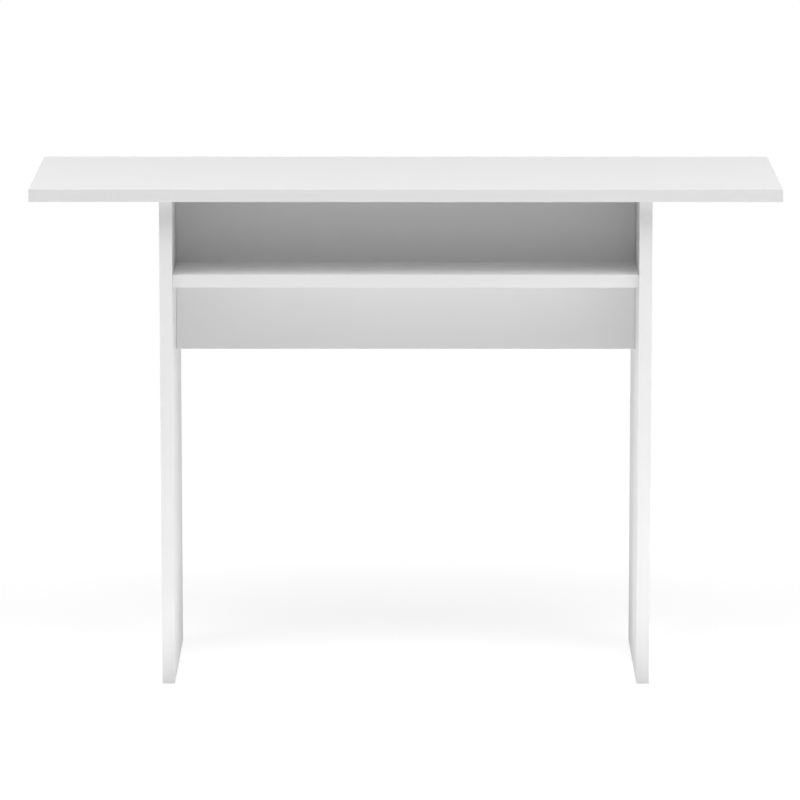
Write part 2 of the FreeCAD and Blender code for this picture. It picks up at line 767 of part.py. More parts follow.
def cam_nut(name, board_thickness, hole_depth):
    """A cam nut with its open side along +X and its screwdriver cross facing up, at Z = 0."""
    bolt_level = f"(sizes.cam_cover - {board_thickness} / 2)"
    height = f"({hole_depth} - sizes.cam_cover)"
    nut = rod(f"{name}_body", "sizes.cam_radius", height, ("0", "0", f"-{height}"))
    head_room = f"{cam_bolt_head_radius} + 2 * sizes.seat_clearance"
    mouth = rod(
        f"{name}_mouth", head_room, "sizes.cam_radius + sizes.cam_bolt_head_length",
        ("-sizes.cam_bolt_head_length", "0", bolt_level), "+x",
    )
    half_slot = "sizes.cam_slot_width / 2"
    slot_reach = "(sizes.cam_radius - sizes.cam_slot_end)"
    slot_floor = "-sizes.cam_slot_depth"
    slots = [
        box(f"{name}_slot_along", (f"-{slot_reach}", f"-{half_slot}", slot_floor),
            (slot_reach, half_slot, "0")),
        box(f"{name}_slot_across", (f"-{half_slot}", f"-{slot_reach}", slot_floor),
            (half_slot, slot_reach, "0")),
    ]
    return cut(name, nut, [mouth] + slots)


centre_cam = cam_nut("centre_cam", "sizes.centre_board", centre_cam_depth)
shelf_cam = cam_nut("shelf_cam", "sizes.shelf_board", shelf_cam_depth)
pivot_board_cam = cam_nut("pivot_board_cam", "sizes.pivot_board", pivot_board_cam_depth)


def facing(face, mouth):
    """The turn that points a cam nut's face one way and its open side another."""
    up = POINTING[face].multVec(FreeCAD.Vector(0, 0, 1))
    along = POINTING[mouth].multVec(FreeCAD.Vector(0, 0, 1))
    return FreeCAD.Rotation(along, up.cross(along), up, "XZY")


centre_cam_y = f"({centre_rear} - sizes.cam_cover)"
centre_cam_places = []
for level in centre_cam_levels:
    centre_cam_places.append((f"(-{cam_x})", centre_cam_y, level, facing("+y", "-x")))
    centre_cam_places.append((cam_x, centre_cam_y, level, facing("+y", "+x")))
copies("centre_panel_cam_nuts", centre_cam, centre_cam_places)
copies("centre_panel_cam_bolts", cam_bolt, at_both_ends([("0", level) for level in centre_cam_levels]))

shelf_cam_z = f"({shelf_under} + sizes.cam_cover)"
copies("shelf_cam_nuts", shelf_cam, [
    (f"(-{cam_x})", shelf_centre_y, shelf_cam_z, facing("-z", "-x")),
    (cam_x, shelf_centre_y, shelf_cam_z, facing("-z", "+x")),
])
copies("shelf_cam_bolts", cam_bolt, at_both_ends([(shelf_centre_y, shelf_middle)]))

pivot_board_cam_z = f"({pivot_board_under} + sizes.cam_cover)"
pivot_board_cam_places = [
    (f"(-{cam_x})", pivot_board_centre_y, pivot_board_cam_z, facing("-z", "-x")),
    (cam_x, pivot_board_centre_y, pivot_board_cam_z, facing("-z", "+x")),
]
pivot_board_cam_places += [
    (x, pivot_board_cam_y, pivot_board_cam_z, facing("-z", "-y")) for x in pivot_board_cam_columns
]
copies("pivot_board_cam_nuts", pivot_board_cam, pivot_board_cam_places)
pivot_board_bolt_places = at_both_ends([(pivot_board_centre_y, pivot_board_middle)])
pivot_board_bolt_places += [
    (x, centre_rear, pivot_board_middle, POINTING["+y"]) for x in pivot_board_cam_columns
]
copies("pivot_board_cam_bolts", cam_bolt, pivot_board_bolt_places)

# A cover cap lies on the board's face with its spigot in the cam hole.
cap_radius = "(sizes.cam_radius + sizes.cap_overlap)"
cap_spigot_radius = "(sizes.cam_radius - sizes.cap_spigot_clearance)"
cam_cap = turned("cam_cap", [
    ("0", "-sizes.cap_spigot_length"),
    (cap_spigot_radius, "-sizes.cap_spigot_length"),
    (cap_spigot_radius, "0"),
    (cap_radius, "0"),
    (cap_radius, "sizes.cap_rim / 2"),
    (f"{cap_radius} - sizes.cap_rim / 2", "sizes.cap_rim"),
    ("0", "sizes.cap_rim"),
])
cap_places = [(x, centre_rear, level, POINTING["+y"]) for x in both(cam_x) for level in centre_cam_levels]
cap_places += [(x, shelf_centre_y, shelf_under, UPSIDE_DOWN) for x in both(cam_x)]
cap_places += [(x, pivot_board_centre_y, pivot_board_under, UPSIDE_DOWN) for x in both(cam_x)]
cap_places += [(x, pivot_board_cam_y, pivot_board_under, UPSIDE_DOWN) for x in pivot_board_cam_columns]
copies("cam_cover_caps", cam_cap, cap_places)


# ---- Confirmat screws: through the centre panel into the shelf's rear edge ----

confirmat = turned("confirmat", [
    ("0", "0"),
    ("sizes.confirmat_head_radius", "0"),
    ("sizes.confirmat_head_radius", "sizes.confirmat_head_length / 2"),
    ("sizes.confirmat_shank_radius", "sizes.confirmat_head_length"),
    ("sizes.confirmat_shank_radius", "sizes.centre_board"),
    ("sizes.confirmat_thread_radius", "sizes.centre_board"),
    ("sizes.confirmat_thread_radius", "sizes.confirmat_length - sizes.confirmat_thread_radius"),
    ("0", "sizes.confirmat_length"),
])
copies("shelf_confirmat_screws", confirmat, [
    (x, centre_rear, shelf_middle, POINTING["-y"]) for x in confirmat_columns
])
screw_cap_radius = "(sizes.confirmat_head_radius + sizes.screw_cap_overlap)"
screw_cap = turned("screw_cap", [
    ("0", "0"),
    (screw_cap_radius, "0"),
    (screw_cap_radius, "sizes.screw_cap_height / 2"),
    (f"{screw_cap_radius} - sizes.screw_cap_height / 2", "sizes.screw_cap_height"),
    ("0", "sizes.screw_cap_height"),
])
copies("confirmat_cover_caps", screw_cap, [
    (x, centre_rear, shelf_middle, POINTING["+y"]) for x in confirmat_columns
])


# ---- Glides and their nails, under the side panels ----

glide = turned("glide", [
    ("sizes.nail_head_radius + sizes.seat_clearance", "0"),
    ("sizes.glide_radius - sizes.glide_height / 4", "0"),
    ("sizes.glide_radius", "sizes.glide_height / 4"),
    ("sizes.glide_radius", "sizes.glide_height"),
    ("sizes.nail_radius + sizes.seat_clearance", "sizes.glide_height"),
    ("sizes.nail_radius + sizes.seat_clearance", f"{nail_sink} + sizes.nail_head_height"),
    ("sizes.nail_head_radius + sizes.seat_clearance", f"{nail_sink} + sizes.nail_head_height"),
])
copies("floor_glides", glide, [(x, y, "0", UPRIGHT) for x, y in glides])
nail = turned("nail", [
    ("0", "0"),
    ("sizes.nail_head_radius", "0"),
    ("sizes.nail_head_radius", "sizes.nail_head_height"),
    ("sizes.nail_radius", "sizes.nail_head_height"),
    ("sizes.nail_radius", "sizes.nail_length - 2 * sizes.nail_radius"),
    ("0", "sizes.nail_length"),
])
copies("floor_glide_nails", nail, [(x, y, nail_sink, UPRIGHT) for x, y in glides])


# ---- Slide pads, pushed into the base's top edges for the leaves to slide on ----

slide_pad = turned("slide_pad", [
    ("0", "-sizes.pad_stem_length"),
    ("sizes.pad_stem_radius", "-sizes.pad_stem_length"),
    ("sizes.pad_stem_radius", "0"),
    ("sizes.pad_radius", "0"),
    ("sizes.pad_radius", f"{slide_pad_height} / 2"),
    (f"sizes.pad_radius - {slide_pad_height} / 2", slide_pad_height),
    ("0", slide_pad_height),
])
copies("slide_pads", slide_pad, [(x, y, base_top, UPRIGHT) for x, y in side_pads + centre_pads])


# ---- Leaves: two equal boards with a band on each edge ----

half_length = "(sizes.top_length / 2)"
half_depth = "(sizes.top_depth / 2)"
hinge_columns = {
    "left_outer": "(sizes.outer_hinge_inset - sizes.top_length / 2)",
    "left_inner": "(-sizes.inner_hinge_spread)",
    "right_inner": "sizes.inner_hinge_spread",
    "right_outer": "(sizes.top_length / 2 - sizes.outer_hinge_inset)",
}
half_hinge = "sizes.hinge_length / 2 + 2 * sizes.seat_clearance"
notch_front = f"({hinge_axis_y} - sizes.knuckle_radius - sizes.knuckle_clearance)"
notch_depth = "sizes.knuckle_radius + sizes.knuckle_clearance - sizes.leaf_gap / 2"
plate_front = f"({hinge_axis_y} - sizes.hinge_reach - 2 * sizes.seat_clearance)"
hinge_screw_holes = []
for column in hinge_columns.values():
    far_row = f"({hinge_axis_y} - {hinge_screw_far_row})"
    near_row = f"({hinge_axis_y} - {hinge_screw_near_row})"
    hinge_screw_holes.append((f"({column} - {hinge_screw_column})", near_row))
    hinge_screw_holes.append((column, far_row))
    hinge_screw_holes.append((f"({column} + {hinge_screw_column})", near_row))


def leaf(label, under, mating_face, inwards):
    """A leaf and its bands, recessed for the hinge plates and notched for their knuckles."""
    top = f"({under} + sizes.leaf_thickness)"
    core = board(
        label, "z",
        (f"(-{half_length} + sizes.band_thickness)", f"(-{half_depth} + sizes.band_thickness)", under),
        (f"({half_length} - sizes.band_thickness)", f"({half_depth} - sizes.band_thickness)", top),
    )
    plates = []
    notches = []
    for column in hinge_columns.values():
        left = f"({column} - ({half_hinge}))"
        right = f"({column} + {half_hinge})"
        plates.append(((left, plate_front), (right, notch_front)))
        notches.append(((left, notch_front), (right, half_depth)))
    recess(core, f"{label}_plate_recesses", inwards, mating_face, plates, "sizes.hinge_plate")
    recess(core, f"{label}_knuckle_notches", inwards, mating_face, notches, notch_depth)
    drill(
        core, f"{label}_hinge_screw_holes", inwards, mating_face, hinge_screw_holes,
        "sizes.hinge_screw_radius + sizes.seat_clearance", leaf_screw_length,
    )
    bands = []
    for side, low_x, high_x in (
        ("left", f"(-{half_length})", f"(-{half_length} + sizes.band_thickness)"),
        ("right", f"({half_length} - sizes.band_thickness)", half_length),
    ):
        bands.append(board(
            f"{label}_{side}_band", "x",
            (low_x, f"(-{half_depth} + sizes.band_thickness)", under),
            (high_x, f"({half_depth} - sizes.band_thickness)", top),
        ))
    bands.append(board(
        f"{label}_front_band", "y",
        (f"(-{half_length})", f"(-{half_depth})", under),
        (half_length, f"(-{half_depth} + sizes.band_thickness)", top),
    ))
    rear_band = board(
        f"{label}_rear_band", "y",
        (f"(-{half_length})", f"({half_depth} - sizes.band_thickness)", under),
        (half_length, half_depth, top),
    )
    recess(rear_band, f"{label}_band_notches", inwards, mating_face, notches, notch_depth)
    bands.append(rear_band)
    return core, bands


lower_leaf, lower_bands = leaf("lower_leaf", lower_leaf_under, lower_leaf_top, "-z")
drill(
    lower_leaf, "flange_recess", "+z", lower_leaf_under, [(pivot_x, pivot_y)],
    "sizes.flange_radius + 2 * sizes.seat_clearance", "sizes.flange_thickness",
)
FLANGE_SCREWS = 6
flange_screw_points = []
for index in range(FLANGE_SCREWS):
    turn = f"{index * 360 / FLANGE_SCREWS} deg"
    flange_screw_points.append((
        f"({pivot_x} + {flange_screw_circle} * cos({turn}))",
        f"({pivot_y} + {flange_screw_circle} * sin({turn}))",
    ))
drill(
    lower_leaf, "flange_screw_holes", "+z", lower_leaf_under, flange_screw_points,
    "sizes.flange_screw_radius + sizes.seat_clearance", leaf_screw_length,
)
peg_x = f"({pivot_x} - {stop_radius})"
drill(
    lower_leaf, "peg_hole", "+z", lower_leaf_under, [(peg_x, pivot_y)],
    "sizes.peg_radius + sizes.seat_clearance", leaf_screw_length,
)
keep(lower_leaf, "lower_leaf")
group("lower_leaf_edge_bands", lower_bands)

upper_leaf, upper_bands = leaf("upper_leaf", upper_leaf_under, upper_leaf_under, "+z")
keep(upper_leaf, "upper_leaf")
group("upper_leaf_edge_bands", upper_bands)


# ---- Pivot: a stud welded to a flange under the lower leaf, turning in a flanged bush ----

bush_bore = "sizes.stud_radius + sizes.bush_running_clearance"
bush = turned("bush", [
    (bush_bore, "-sizes.pivot_board"),
    (bush_outer, "-sizes.pivot_board"),
    (bush_outer, "0"),
    ("sizes.bush_flange_radius", "0"),
    ("sizes.bush_flange_radius", slide_pad_height),
    (bush_bore, slide_pad_height),
])
copies("pivot_bush", bush, [(pivot_x, pivot_y, base_top, UPRIGHT)])


def washer(name, bore, radius, height):
    """A flat ring, standing on its lower face."""
    return turned(name, [(bore, "0"), (radius, "0"), (radius, height), (bore, height)])


washer_bore = "sizes.stud_radius + 5 * sizes.seat_clearance"
thrust_washer = washer(
    "thrust_washer", washer_bore, "sizes.thrust_washer_radius", "sizes.thrust_washer_height"
)
thrust_under = f"({pivot_board_under} - sizes.thrust_washer_height)"
copies("pivot_thrust_washer", thrust_washer, [(pivot_x, pivot_y, thrust_under, UPRIGHT)])

steel_washer = washer("steel_washer", washer_bore, "sizes.steel_washer_radius", "sizes.steel_washer_height")
steel_under = f"({thrust_under} - sizes.running_gap - sizes.steel_washer_height)"
copies("pivot_steel_washer", steel_washer, [(pivot_x, pivot_y, steel_under, UPRIGHT)])

# The spring washer is split, so a narrow gap is cut through its ring.
spring_ring = washer("spring_ring", washer_bore, "sizes.spring_washer_radius", "sizes.spring_washer_height")
spring_gap = box(
    "spring_washer_gap", ("0", "-sizes.spring_washer_height / 4", "0"),
    ("sizes.spring_washer_radius + 1", "sizes.spring_washer_height / 4", "sizes.spring_washer_height"),
)
spring_washer = cut("spring_washer", spring_ring, [spring_gap])
spring_under = f"({steel_under} - sizes.spring_washer_height)"
copies("pivot_spring_washer", spring_washer, [(pivot_x, pivot_y, spring_under, UPRIGHT)])

# The lock nut: a hexagon with a round collar that holds the nylon ring, below the washers.
nut_hexagon = doc.addObject("PartDesign::Body", "nut_hexagon")
hexagon_sketch = new_sketch(nut_hexagon, "nut_hexagon_outline", "z")
corner_radius = "sizes.nut_across_flats / sqrt(3)"
HEXAGON = 6
draw_outline(hexagon_sketch, [
    (f"{corner_radius} * cos({index * 60 + 30} deg)", f"{corner_radius} * sin({index * 60 + 30} deg)")
    for index in range(HEXAGON)
])
hexagon_pad = nut_hexagon.newObject("PartDesign::Pad", "nut_hexagon_pad")
hexagon_pad.Profile = hexagon_sketch
bind(hexagon_pad, Length="sizes.nut_height - sizes.nut_collar_height")
set_down(nut_hexagon, "0", "0", "sizes.nut_collar_height")
nut_collar_radius = "sizes.nut_across_flats / 2 - sizes.nut_collar_step"
nut_collar = rod("nut_collar", nut_collar_radius, "sizes.nut_collar_height", ("0", "0", "0"))
nut_bore = rod("nut_bore", bush_bore, "sizes.nut_height", ("0", "0", "0"))
lock_nut = cut("lock_nut", fused("nut_blank", [nut_hexagon, nut_collar]), [nut_bore])
nut_under = f"({spring_under} - sizes.nut_height)"
copies("pivot_lock_nut", lock_nut, [(pivot_x, pivot_y, nut_under, UPRIGHT)])

flange_disc = rod(
    "flange_disc", "sizes.flange_radius", "sizes.flange_thickness",
    (pivot_x, pivot_y, lower_leaf_under),
)
stud_end = f"({nut_under} - sizes.stud_tail)"
stud = rod(
    "stud", "sizes.stud_radius", f"{lower_leaf_under} + sizes.flange_thickness - {stud_end}",
    (pivot_x, pivot_y, stud_end),
)
flange_sinks = []
for index, (x, y) in enumerate(flange_screw_points, start=1):
    flange_sinks.append(cone(
        f"flange_sink_{index}", "sizes.flange_screw_head_radius + sizes.seat_clearance",
        "sizes.flange_screw_radius + sizes.seat_clearance", flange_screw_head_length,
        (x, y, lower_leaf_under),
    ))
    flange_sinks.append(rod(
        f"flange_hole_{index}", "sizes.flange_screw_radius + sizes.seat_clearance",
        "sizes.flange_thickness", (x, y, lower_leaf_under),
    ))
keep(cut("pivot_flange", fused("flange_and_stud", [flange_disc, stud]), flange_sinks), "pivot_flange")


def countersunk(name, head_radius, head_length, radius, length):
    """A countersunk screw, its head's face at Z = 0 and its point upwards."""
    return turned(name, [
        ("0", "0"),
        (head_radius, "0"),
        (radius, head_length),
        (radius, f"{length} - {radius}"),
        ("0", length),
    ])


flange_screw = countersunk(
    "flange_screw", "sizes.flange_screw_head_radius", flange_screw_head_length,
    "sizes.flange_screw_radius", leaf_screw_length,
)
copies("pivot_flange_screws", flange_screw, [
    (x, y, lower_leaf_under, UPRIGHT) for x, y in flange_screw_points
])

stop_peg = rod(
    "stop_peg", "sizes.peg_radius", f"{leaf_screw_length} + sizes.peg_reach",
    (peg_x, pivot_y, f"{lower_leaf_under} - sizes.peg_reach"),
)
keep(stop_peg, "stop_peg")


# ---- Leaf hinges: recessed butt hinges, their pins along the top's rear edge ----

KNUCKLES = 5
knuckle_pitch = f"sizes.hinge_length / {KNUCKLES}"


def hinge_plate(name, knuckles, face_side):
    """A hinge plate with its knuckles; the pin's axis is the X axis and the plate runs to -Y."""
    half_gap = "sizes.leaf_gap / 2"
    inner = f"({face_side} * ({half_gap}))"
    outer = f"({face_side} * ({half_gap} + sizes.hinge_plate))"
    low_z, high_z = (outer, inner) if face_side == "-1" else (inner, outer)
    knuckle_front = "(-sizes.knuckle_radius - sizes.knuckle_clearance)"
    solids = [box(
        f"{name}_flat", ("-sizes.hinge_length / 2", "-sizes.hinge_reach", low_z),
        ("sizes.hinge_length / 2", knuckle_front, high_z),
    )]
    for index in knuckles:
        start = f"(-sizes.hinge_length / 2 + {index} * {knuckle_pitch} + sizes.knuckle_side_gap / 2)"
        width = f"({knuckle_pitch} - sizes.knuckle_side_gap)"
        solids.append(rod(
            f"{name}_knuckle_{index}", "sizes.knuckle_radius", width, (start, "0", "0"), "+x",
        ))
        solids.append(box(
            f"{name}_web_{index}", (start, knuckle_front, low_z), (f"{start} + {width}", "0", high_z),
        ))
    tools = [rod(
        f"{name}_pin_bore", "sizes.pin_radius + sizes.bush_running_clearance",
        "sizes.hinge_length", ("-sizes.hinge_length / 2", "0", "0"), "+x",
    )]
    direction = "-z" if face_side == "-1" else "+z"
    for index, (x, row) in enumerate((
        (f"-{hinge_screw_column}", f"-{hinge_screw_near_row}"),
        ("0", f"-{hinge_screw_far_row}"),
        (hinge_screw_column, f"-{hinge_screw_near_row}"),
    ), start=1):
        tools.append(cone(
            f"{name}_sink_{index}", "sizes.hinge_screw_head_radius + sizes.seat_clearance",
            "sizes.hinge_screw_radius + sizes.seat_clearance", hinge_screw_head_length,
            (x, row, inner), direction,
        ))
        tools.append(rod(
            f"{name}_hole_{index}", "sizes.hinge_screw_radius + sizes.seat_clearance",
            "sizes.hinge_plate", (x, row, inner), direction,
        ))
    return cut(name, fused(f"{name}_blank", solids), tools)


lower_plate = hinge_plate("lower_plate", (0, 2, 4), "-1")
upper_plate = hinge_plate("upper_plate", (1, 3), "1")
for name, column in hinge_columns.items():
    copies(f"hinge_lower_plate_{name}", lower_plate, [(column, hinge_axis_y, hinge_axis_z, UPRIGHT)])
for name, column in hinge_columns.items():
    copies(f"hinge_upper_plate_{name}", upper_plate, [(column, hinge_axis_y, hinge_axis_z, UPRIGHT)])

hinge_pin = rod("hinge_pin", "sizes.pin_radius", "sizes.hinge_length - 2 * sizes.pin_head_gap",
                ("-sizes.hinge_length / 2 + sizes.pin_head_gap", "0", "0"), "+x")
copies("hinge_pins", hinge_pin, [
    (column, hinge_axis_y, hinge_axis_z, UPRIGHT) for column in hinge_columns.values()
])
hinge_screw = countersunk(
    "hinge_screw", "sizes.hinge_screw_head_radius", hinge_screw_head_length,
    "sizes.hinge_screw_radius", leaf_screw_length,
)
copies("hinge_lower_screws", hinge_screw, [
    (x, y, lower_leaf_top, UPSIDE_DOWN) for x, y in hinge_screw_holes
])
copies("hinge_upper_screws", hinge_screw, [
    (x, y, upper_leaf_under, UPRIGHT) for x, y in hinge_screw_holes
])


# ---- Check the document and write each sub-part ----

doc.recompute()
for item in doc.Objects:
    if "Invalid" in item.State or "Error" in item.State:
        raise RuntimeError(f"{item.Label} failed to compute")
for item in doc.Objects:
    if item.TypeId in ("PartDesign::Pocket", "PartDesign::Groove"):
        if item.Shape.Volume > item.BaseFeature.Shape.Volume - 0.01:
            raise RuntimeError(f"{item.Label} cuts nothing")
for piece in sub_parts:
    if piece.Shape.isNull() or not piece.Shape.isValid():
        raise RuntimeError(f"{piece.Label} has no valid shape")

os.makedirs("parts", exist_ok=True)
for piece in sub_parts:
    piece.Shape.exportStep(f"parts/{piece.Label}.step")
    print(f"{piece.Label}: {len(piece.Shape.Solids)} solids, {piece.Shape.Volume:.1f} mm3")
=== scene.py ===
import json
import math

import bmesh
import bpy
from mathutils import Matrix, Vector

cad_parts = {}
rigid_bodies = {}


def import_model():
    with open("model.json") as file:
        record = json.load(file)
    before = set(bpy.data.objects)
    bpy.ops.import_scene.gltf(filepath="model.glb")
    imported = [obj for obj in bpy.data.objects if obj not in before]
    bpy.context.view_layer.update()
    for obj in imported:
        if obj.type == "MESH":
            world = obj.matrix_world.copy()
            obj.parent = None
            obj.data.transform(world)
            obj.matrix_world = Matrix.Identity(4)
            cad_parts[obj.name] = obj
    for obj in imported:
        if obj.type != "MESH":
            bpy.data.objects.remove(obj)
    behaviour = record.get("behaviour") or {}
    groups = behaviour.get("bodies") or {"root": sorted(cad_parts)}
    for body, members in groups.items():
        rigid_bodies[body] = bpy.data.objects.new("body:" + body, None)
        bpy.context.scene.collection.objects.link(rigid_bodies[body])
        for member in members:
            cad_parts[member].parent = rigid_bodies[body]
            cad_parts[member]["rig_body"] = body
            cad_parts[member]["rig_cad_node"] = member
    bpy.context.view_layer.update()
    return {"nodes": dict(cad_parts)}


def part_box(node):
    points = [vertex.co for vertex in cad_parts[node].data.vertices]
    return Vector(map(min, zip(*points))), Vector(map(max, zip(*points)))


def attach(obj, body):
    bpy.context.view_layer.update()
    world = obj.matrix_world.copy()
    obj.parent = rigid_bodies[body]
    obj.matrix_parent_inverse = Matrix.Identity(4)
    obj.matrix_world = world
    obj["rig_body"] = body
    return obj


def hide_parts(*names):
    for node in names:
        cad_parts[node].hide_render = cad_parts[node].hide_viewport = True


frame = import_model()


# ---- Side panels ----
# The table's two legs: particle board pressed between two sheets of white melamine paper, sawn
# to size.  The bottom edges stand on glides and are left raw, as on most flat-pack furniture.

MM = 0.001
PAPER_DEPTH = 0.03 * MM
PAPER_CLOUD, PEARL_GRAIN = 110 * MM, 1.5 * MM
CHIP_LENGTH, CHIP_WIDTH, CHIP_TANGLE = 2.4 * MM, 0.7 * MM, 2 * MM


def linear(code):
    """An sRGB hex colour as linear red, green, blue and alpha."""
    shares = [int(code[start:start + 2], 16) / 255 for start in (1, 3, 5)]
    return [s / 12.92 if s <= 0.04045 else ((s + 0.055) / 1.055) ** 2.4 for s in shares] + [1]


def add_node(tree, kind, inputs=None, **settings):
    """A node of a kind with its settings; each input takes a value or another node's output."""
    node = tree.nodes.new(kind)
    for name, value in settings.items():
        setattr(node, name, value)
    for name, value in (inputs or {}).items():
        if isinstance(value, bpy.types.NodeSocket):
            tree.links.new(value, node.inputs[name])
        else:
            node.inputs[name].default_value = value
    return node


def new_material(name, roughness, metallic=0.0, ior=1.5):
    """A material with its shader, and the place on the piece that its patterns are drawn from."""
    material = bpy.data.materials.new(name)
    material.use_nodes = True
    tree = material.node_tree
    tree.nodes.clear()
    shader = add_node(tree, "ShaderNodeBsdfPrincipled", {
        "Roughness": roughness,
        "Metallic": metallic,
        "IOR": ior,
    })
    output = add_node(tree, "ShaderNodeOutputMaterial", {"Surface": shader.outputs["BSDF"]})
    output.is_active_output = True
    place = add_node(tree, "ShaderNodeTexCoord").outputs["Object"]
    return material, tree, shader, place


def melamine_faced(node, axis, facing=PAPER_DEPTH):
    """White melamine on a board's two faces, and pressed wood chips wherever it is sawn or drilled.

    Melamine paper is pressed on a finely blasted plate, so it has a satin sheen with a pearl
    grain of about 0.5 mm; the grain is drawn 1.5 mm wide, so that it shows in a close view.
    The axis is the one that the board is thin along.
    """
    material, tree, shader, place = new_material(f"melamine_{node}", roughness=0.6)
    low, high = (corner[axis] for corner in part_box(node))
    split = add_node(tree, "ShaderNodeSeparateXYZ", {"Vector": place})
    offset = add_node(tree, "ShaderNodeMath", {
        0: split.outputs[axis],
        1: -(low + high) / 2,
    }, operation="ADD")
    depth = add_node(tree, "ShaderNodeMath", {0: offset.outputs[0]}, operation="ABSOLUTE")
    faced = add_node(tree, "ShaderNodeMath", {
        0: depth.outputs[0],
        1: (high - low) / 2 - facing,
    }, operation="GREATER_THAN").outputs[0]

    clouds = add_node(tree, "ShaderNodeTexNoise", {
        "Vector": place,
        "Scale": 1 / PAPER_CLOUD,
        "Detail": 3,
    })
    paper = add_node(tree, "ShaderNodeMix", {
        "Factor": clouds.outputs["Fac"],
        6: linear("#EAEAEA"),
        7: linear("#ECECEC"),
    }, data_type="RGBA")
    pearl = add_node(tree, "ShaderNodeTexNoise", {
        "Vector": place,
        "Scale": 1 / PEARL_GRAIN,
        "Detail": 1,
    })

    # Chips are 1 to 4 mm long and under 1 mm thick, and lie every way in the board's plane.
    lie = add_node(tree, "ShaderNodeTexNoise", {
        "Vector": place,
        "Scale": 1 / CHIP_TANGLE,
        "Detail": 1,
    })
    crooked = add_node(tree, "ShaderNodeVectorMath", {
        0: lie.outputs["Color"],
        1: (CHIP_TANGLE, CHIP_TANGLE, CHIP_TANGLE),
    }, operation="MULTIPLY")
    strewn = add_node(tree, "ShaderNodeVectorMath", {
        0: place,
        1: crooked.outputs["Vector"],
    }, operation="ADD")
    layers = []
    for long_axis in (first for first in range(3) if first != axis):
        stretch = [1 / CHIP_WIDTH] * 3
        stretch[long_axis] = 1 / CHIP_LENGTH
        laid = add_node(tree, "ShaderNodeMapping", {
            "Vector": strewn.outputs["Vector"],
            "Scale": stretch,
        })
        layers.append(add_node(tree, "ShaderNodeTexVoronoi", {
            "Vector": laid.outputs["Vector"],
            "Scale": 1,
        }))
    which = add_node(tree, "ShaderNodeMath", {
        0: lie.outputs["Fac"],
        1: 0.5,
    }, operation="GREATER_THAN")
    chips = add_node(tree, "ShaderNodeMix", {
        "Factor": which.outputs[0],
        6: layers[0].outputs["Color"],
        7: layers[1].outputs["Color"],
    }, data_type="RGBA")
    chip_tone = add_node(tree, "ShaderNodeSeparateColor", {"Color": chips.outputs[2]})
    chip_colour = add_node(tree, "ShaderNodeMix", {
        "Factor": chip_tone.outputs["Red"],
        6: linear("#A07E54"),
        7: linear("#DCC39A"),
    }, data_type="RGBA")

    colour = add_node(tree, "ShaderNodeMix", {
        "Factor": faced,
        6: chip_colour.outputs[2],
        7: paper.outputs[2],
    }, data_type="RGBA")
    tree.links.new(colour.outputs[2], shader.inputs["Base Color"])

    sheen = add_node(tree, "ShaderNodeMapRange", {
        "Value": pearl.outputs["Fac"],
        "To Min": 0.58,
        "To Max": 0.64,
    })
    roughness = add_node(tree, "ShaderNodeMix", {
        "Factor": faced,
        "A": 0.95,
        "B": sheen.outputs["Result"],
    })
    tree.links.new(roughness.outputs["Result"], shader.inputs["Roughness"])

    pearl_relief = add_node(tree, "ShaderNodeMath", {
        0: pearl.outputs["Fac"],
        1: 0.012 * MM,
    }, operation="MULTIPLY")
    chip_relief = add_node(tree, "ShaderNodeMath", {
        0: chip_tone.outputs["Green"],
        1: 0.12 * MM,
    }, operation="MULTIPLY")
    relief = add_node(tree, "ShaderNodeMix", {
        "Factor": faced,
        "A": chip_relief.outputs[0],
        "B": pearl_relief.outputs[0],
    })
    bump = add_node(tree, "ShaderNodeBump", {"Height": relief.outputs["Result"], "Distance": 1.0})
    tree.links.new(bump.outputs["Normal"], shader.inputs["Normal"])
    return material


def dress(piece, material):
    """Give a piece its one material."""
    piece.data.materials.clear()
    piece.data.materials.append(material)


for node in ("side_panel_left", "side_panel_right"):
    dress(frame["nodes"][node], melamine_faced(node, axis=0))


# ---- Edge bands of the side panels ----
# White ABS strip, 0.8 mm thick, glued hot along the sawn edges and milled flush with the faces;
# the milling leaves a small round on the outer corners.

def corners(node):
    """A CAD node's lowest and highest corners in millimetres, to the nearest hundredth."""
    return [[round(level / MM, 2) for level in corner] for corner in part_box(node)]


def take_up(piece=None):
    """Leave edit mode with nothing selected but the piece given."""
    if bpy.context.mode != "OBJECT":
        bpy.ops.object.mode_set(mode="OBJECT")
    bpy.ops.object.select_all(action="DESELECT")
    if piece is not None:
        bpy.context.view_layer.objects.active = piece
        piece.select_set(True)


def pick(kind, test):
    """Select the elements of the piece in edit mode whose place or normal passes a test."""
    mesh = bmesh.from_edit_mesh(bpy.context.object.data)
    bpy.ops.mesh.select_mode(type=kind)
    bpy.ops.mesh.select_all(action="DESELECT")
    elements = {"VERT": mesh.verts, "EDGE": mesh.edges, "FACE": mesh.faces}[kind]
    for element in elements:
        if test(element):
            element.select_set(True)
    mesh.select_flush_mode()
    bmesh.update_edit_mesh(bpy.context.object.data)


def start_block(name, low, high):
    """A block between two corners given in millimetres, left in edit mode."""
    take_up()
    middle = [(a + b) / 2 * MM for a, b in zip(low, high)]
    bpy.ops.mesh.primitive_cube_add(size=1, location=middle)
    block = bpy.context.object
    block.name = name
    block.data.name = name
    block.scale = [(b - a) * MM for a, b in zip(low, high)]
    bpy.ops.object.transform_apply(location=True, rotation=True, scale=True)
    bpy.ops.object.mode_set(mode="EDIT")
    return block


SMOOTH_BELOW = math.radians(35)


def smooth(piece):
    """Shade the rounds of a piece smoothly, with its flat faces kept flat."""
    take_up(piece)
    bpy.ops.object.shade_smooth_by_angle(angle=SMOOTH_BELOW)
    piece.modifiers.new("even_normals", "WEIGHTED_NORMAL").keep_sharp = True
    bpy.ops.object.modifier_apply(modifier="even_normals")


